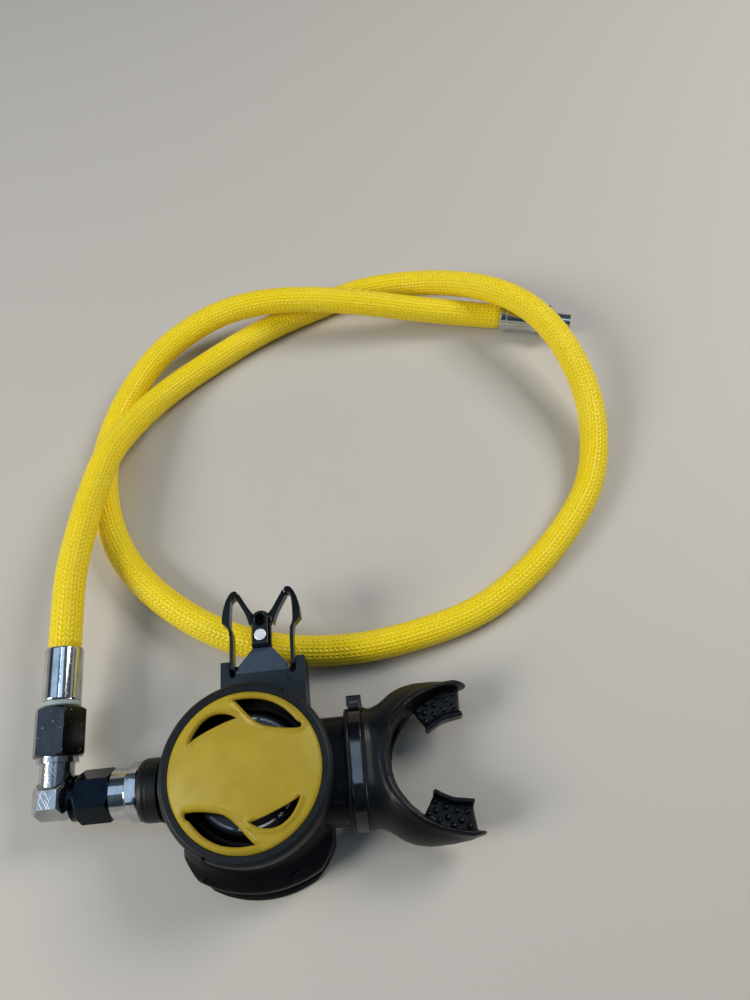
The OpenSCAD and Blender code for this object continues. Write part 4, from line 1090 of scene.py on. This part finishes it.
@dataclass
class ValveCase:
    """The case, its cover ring and what shows through the cover's openings.

    A rib's section gives points across in widths and up in millimetres. Its marks give each
    one's start and stretch as shares of the pitch.
    """

    rib_radius: float = 0.0187
    rib_width: float = 0.0007
    rib_section: tuple[tuple[float, float], ...] = (
        (-0.5, -0.1), (-0.5, 0.15), (0.5, 0.15), (0.5, -0.1),
    )
    rib_marks: tuple[tuple[float, float], ...] = ((0.0, 0.66), (0.76, 0.12))
    rib_steps: int = 8
    ribs: int = 8
    collar_voxel: float = 0.0003
    collar_rounds: int = 6

    def build(self) -> list[bpy.types.Object]:
        """Builds and dresses the case's pieces.

        Returns:
            The pieces.
        """
        widths = {"case_shell": 0.0005, "cover_ring": 0.0004, "exhaust_cover": 0.0005}
        made = []
        for node, width in widths.items():
            piece = softened(node, f"{node}_moulding", width)
            fit(piece, node)
            made.append(piece)
        collar = rounded(
            "inlet_collar", "inlet_collar_moulding", self.collar_voxel, self.collar_rounds
        )
        fit(collar, "inlet_collar")
        flap = welded("exhaust_valve", "exhaust_valve_moulding")
        fold_slivers(flap)
        fit(flap, "exhaust_valve")
        return [*made, collar, flap, self.disc_ribs()]

    def disc_ribs(self) -> bpy.types.Object:
        """Builds the rib on the diaphragm's plate, a long arc and a short dash in turn, light grey
        as a painted highlight along its ridge.
        """
        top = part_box("diaphragm_plate")[1].z
        points: list[Spot] = []
        faces: list[tuple[int, ...]] = []
        pitch = 2 * math.pi / self.ribs
        marks = [(rib, *mark) for rib in range(self.ribs) for mark in self.rib_marks]
        for rib, start, stretch in marks:
            faces += tube_faces(len(points), self.rib_steps + 1, len(self.rib_section))
            for k in range(self.rib_steps + 1):
                angle = pitch * (rib + start + stretch * k / self.rib_steps)
                x, y = math.cos(angle), math.sin(angle)
                for across, up in self.rib_section:
                    radius = self.rib_radius + across * self.rib_width
                    points.append((radius * x, radius * y, top + up * MM))
        ribs = new_object("disc_ribs", points, faces)
        fit(ribs, "diaphragm_plate", DISC_RIB_GLINT, stands_for=False)
        return ribs


@dataclass
class Machined:
    """The plated and moulded small pieces, each with its edges broken."""

    metal_edge: float = 0.00022
    plastic_edge: float = 0.00035
    edge_steps: int = 3
    voxel: float = 0.0002
    clip_x: float = 0.0054
    # Corners of the dark sheets of painted shade in the clip's slots
    shade_web_low: Spot = (0.0099, 0.0345, 0.0240)
    shade_web_high: Spot = (0.0130, 0.0410, 0.0250)

    def build(self) -> list[bpy.types.Object]:
        """Builds and dresses the pieces.

        Returns:
            The pieces.
        """
        metal = ["elbow", "coupling_nut", "hose_nut", "inlet_barrel", "hose_gasket", "clip_rivet"]
        plastic = ["clip_bracket", "clip_plate"]
        soft = {"clip_yoke": 6, "clip_prong_left": 6, "clip_prong_right": 6, "mouthpiece_tie": 3}
        made = {}
        for node in metal + plastic:
            width = self.plastic_edge if node in plastic else self.metal_edge
            made[node] = softened(node, f"{node}_finished", width, self.edge_steps)
            if node in plastic:
                fold_slivers(made[node])
        for node, rounds in soft.items():
            made[node] = rounded(node, f"{node}_finished", self.voxel, rounds)
        for node, piece in made.items():
            fit(piece, node)
        return [*made.values(), self.painted_shade_webs()]

    def painted_shade_webs(self) -> bpy.types.Object:
        """Builds dark sheets of painted shade that close the clip's two slots below the prongs'
        feet.
        """
        low, high = self.shade_web_low, self.shade_web_high
        level = [(low[0], low[1]), (high[0], low[1]), (high[0], high[1]), (low[0], high[1])]
        points: list[Spot] = []
        faces: list[tuple[int, ...]] = []
        for side in (-1, 1):
            faces += [face[::side] for face in tube_faces(len(points), 2, len(level))]
            for z in (low[2], high[2]):
                points += [(self.clip_x + side * x, y, z) for x, y in level]
        shade_sheets = new_object("painted_shade_webs", points, faces)
        rounding = shade_sheets.modifiers.new("rounding", "BEVEL")
        rounding.width = self.metal_edge
        rounding.segments = 2
        fit(shade_sheets, "clip_bracket", stands_for=False)
        return shade_sheets


@dataclass
class Studio:
    """The pale floor, the soft light and the camera.

    The sky gives colours by height, and each lamp its name, place, size, power and coolness.
    """

    floor_size: float = 2.6
    floor_colour: Colour = (0.53, 0.505, 0.46)
    floor_rough: float = 0.6
    sky: tuple[tuple[float, Colour], ...] = (
        (0.0, (0.37, 0.355, 0.33)), (0.3, (0.36, 0.35, 0.33)), (0.4, (0.045, 0.058, 0.07)),
        (0.6, (0.04, 0.05, 0.065)), (0.78, (0.07, 0.09, 0.12)), (1.0, (0.12, 0.16, 0.21)),
    )
    warm: Colour = (1.04, 1.0, 0.94)
    cool: Colour = (0.72, 0.96, 1.3)
    lamps: tuple[tuple[str, Spot, float, float, bool], ...] = (
        ("key", (-0.95, -0.25, 0.75), 0.5, 10.5, False),
        ("fill", (0.8, 0.5, 0.8), 0.5, 7.6, False),
        ("top", (-0.62, 0.2, 1.1), 0.8, 1.2, True),
        ("pane_back", (-0.026, 0.204, 1.1), 0.035, 0.035, True),
        ("pane_front", (-0.027, 0.13, 1.1), 0.035, 0.035, True),
        ("pane_clip", (-0.17, 0.33, 1.1), 0.2, 0.1, True),
        ("pane_mouth", (0.17, 0.165, 1.1), 0.3, 0.28, True),
    )
    lamps_aim: Spot = (0.03, 0.08, 0.0)
    camera_place: Spot = (0.05486, -0.04432, 0.311)
    looks_down: float = math.radians(62)
    roll: float = math.radians(6)
    focal_pixels: float = 751.0
    long_side_pixels: float = 1000.0
    sensor: float = 36.0
    nearest_shown: float = 0.01

    def build(self) -> None:
        """Builds the floor, the lamps, the world and the camera."""
        half = self.floor_size / 2
        corners = [(-half, -half, 0), (half, -half, 0), (half, half, 0), (-half, half, 0)]
        floor = new_object("floor", corners, [(0, 1, 2, 3)])
        pale = Shader("floor_pale")
        dress(floor, pale.finish(Base_Color=self.floor_colour, Roughness=self.floor_rough))
        for lamp in self.lamps:
            self.lamp(*lamp)
        self.room()
        bpy.context.scene.view_settings.view_transform = "Standard"
        self.camera()

    def room(self) -> None:
        """Adds the room's soft light: pale walls, a dim band above them and a cool ceiling."""
        room = Shader("room", world=True)
        height = room.part(room.add("ShaderNodeTexCoord", out="Generated"), "Z")
        colour = room.add("ShaderNodeValToRGB", {"stops": self.sky}, {"Fac": height})
        light = room.add("ShaderNodeBackground", sockets={"Color": colour})
        room.add_output(light, "ShaderNodeOutputWorld")
        bpy.context.scene.world = room.owner

    def lamp(self, name: str, place: Spot, size: float, power: float, cool: bool) -> None:
        """Adds one soft square lamp.

        Args:
            name: the lamp's name.
            place: its middle, from which it points at the part.
            size: the length of its side in metres.
            power: its power in watts.
            cool: whether it is blue like a window and not warm like a bulb.
        """
        data = bpy.data.lights.new(name, "AREA")
        data.size = size
        data.energy = power
        data.color = self.cool if cool else self.warm
        lamp = linked(name, data)
        lamp.location = place
        aim = Vector(self.lamps_aim) - Vector(place)
        lamp.rotation_euler = aim.to_track_quat("-Z", "Y").to_euler()

    def camera(self) -> None:
        """Adds the camera at the height, tilt and roll of the view."""
        data = bpy.data.cameras.new("camera")
        data.sensor_width = self.sensor
        data.lens = self.focal_pixels / self.long_side_pixels * self.sensor
        data.clip_start = self.nearest_shown
        view = linked("camera", data)
        ahead = Vector((0, math.cos(self.looks_down), -math.sin(self.looks_down)))
        right = Vector((1, 0, 0))
        down = ahead.cross(right)
        across = math.cos(self.roll) * right + math.sin(self.roll) * down
        under = -math.sin(self.roll) * right + math.cos(self.roll) * down
        turn = Matrix((across, -under, -ahead)).transposed()
        view.matrix_world = Matrix.Translation(self.camera_place) @ turn.to_4x4()
        bpy.context.scene.camera = view


def dress_cad_nodes() -> int:
    """Gives every CAD node that still shows its finish.

    Returns:
        The number of nodes dressed.
    """
    shown = 0
    materials: dict[str, bpy.types.Material] = {}
    for node, finish in NODE_FINISHES.items():
        piece = frame["nodes"][node]
        if piece.hide_render:
            continue
        if finish.name not in materials:
            materials[finish.name] = finish.material()
        slots = piece.data.materials
        if len(slots) == 0:
            slots.append(materials[finish.name])
        for i in range(len(slots)):
            slots[i] = materials[finish.name]
        shown += 1
    return shown


def main() -> None:
    logging.basicConfig(level=logging.INFO, format="%(message)s")
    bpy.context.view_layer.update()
    Studio().build()
    for maker in (Hose(), PurgeCover(), Mouthpiece(), ValveCase(), Machined()):
        for piece in maker.build():
            log.info("%s: %s, %d faces", type(maker).__name__, piece.name, len(piece.data.polygons))
    log.info("CAD nodes dressed: %d", dress_cad_nodes())


if __name__ == "__main__":
    main()
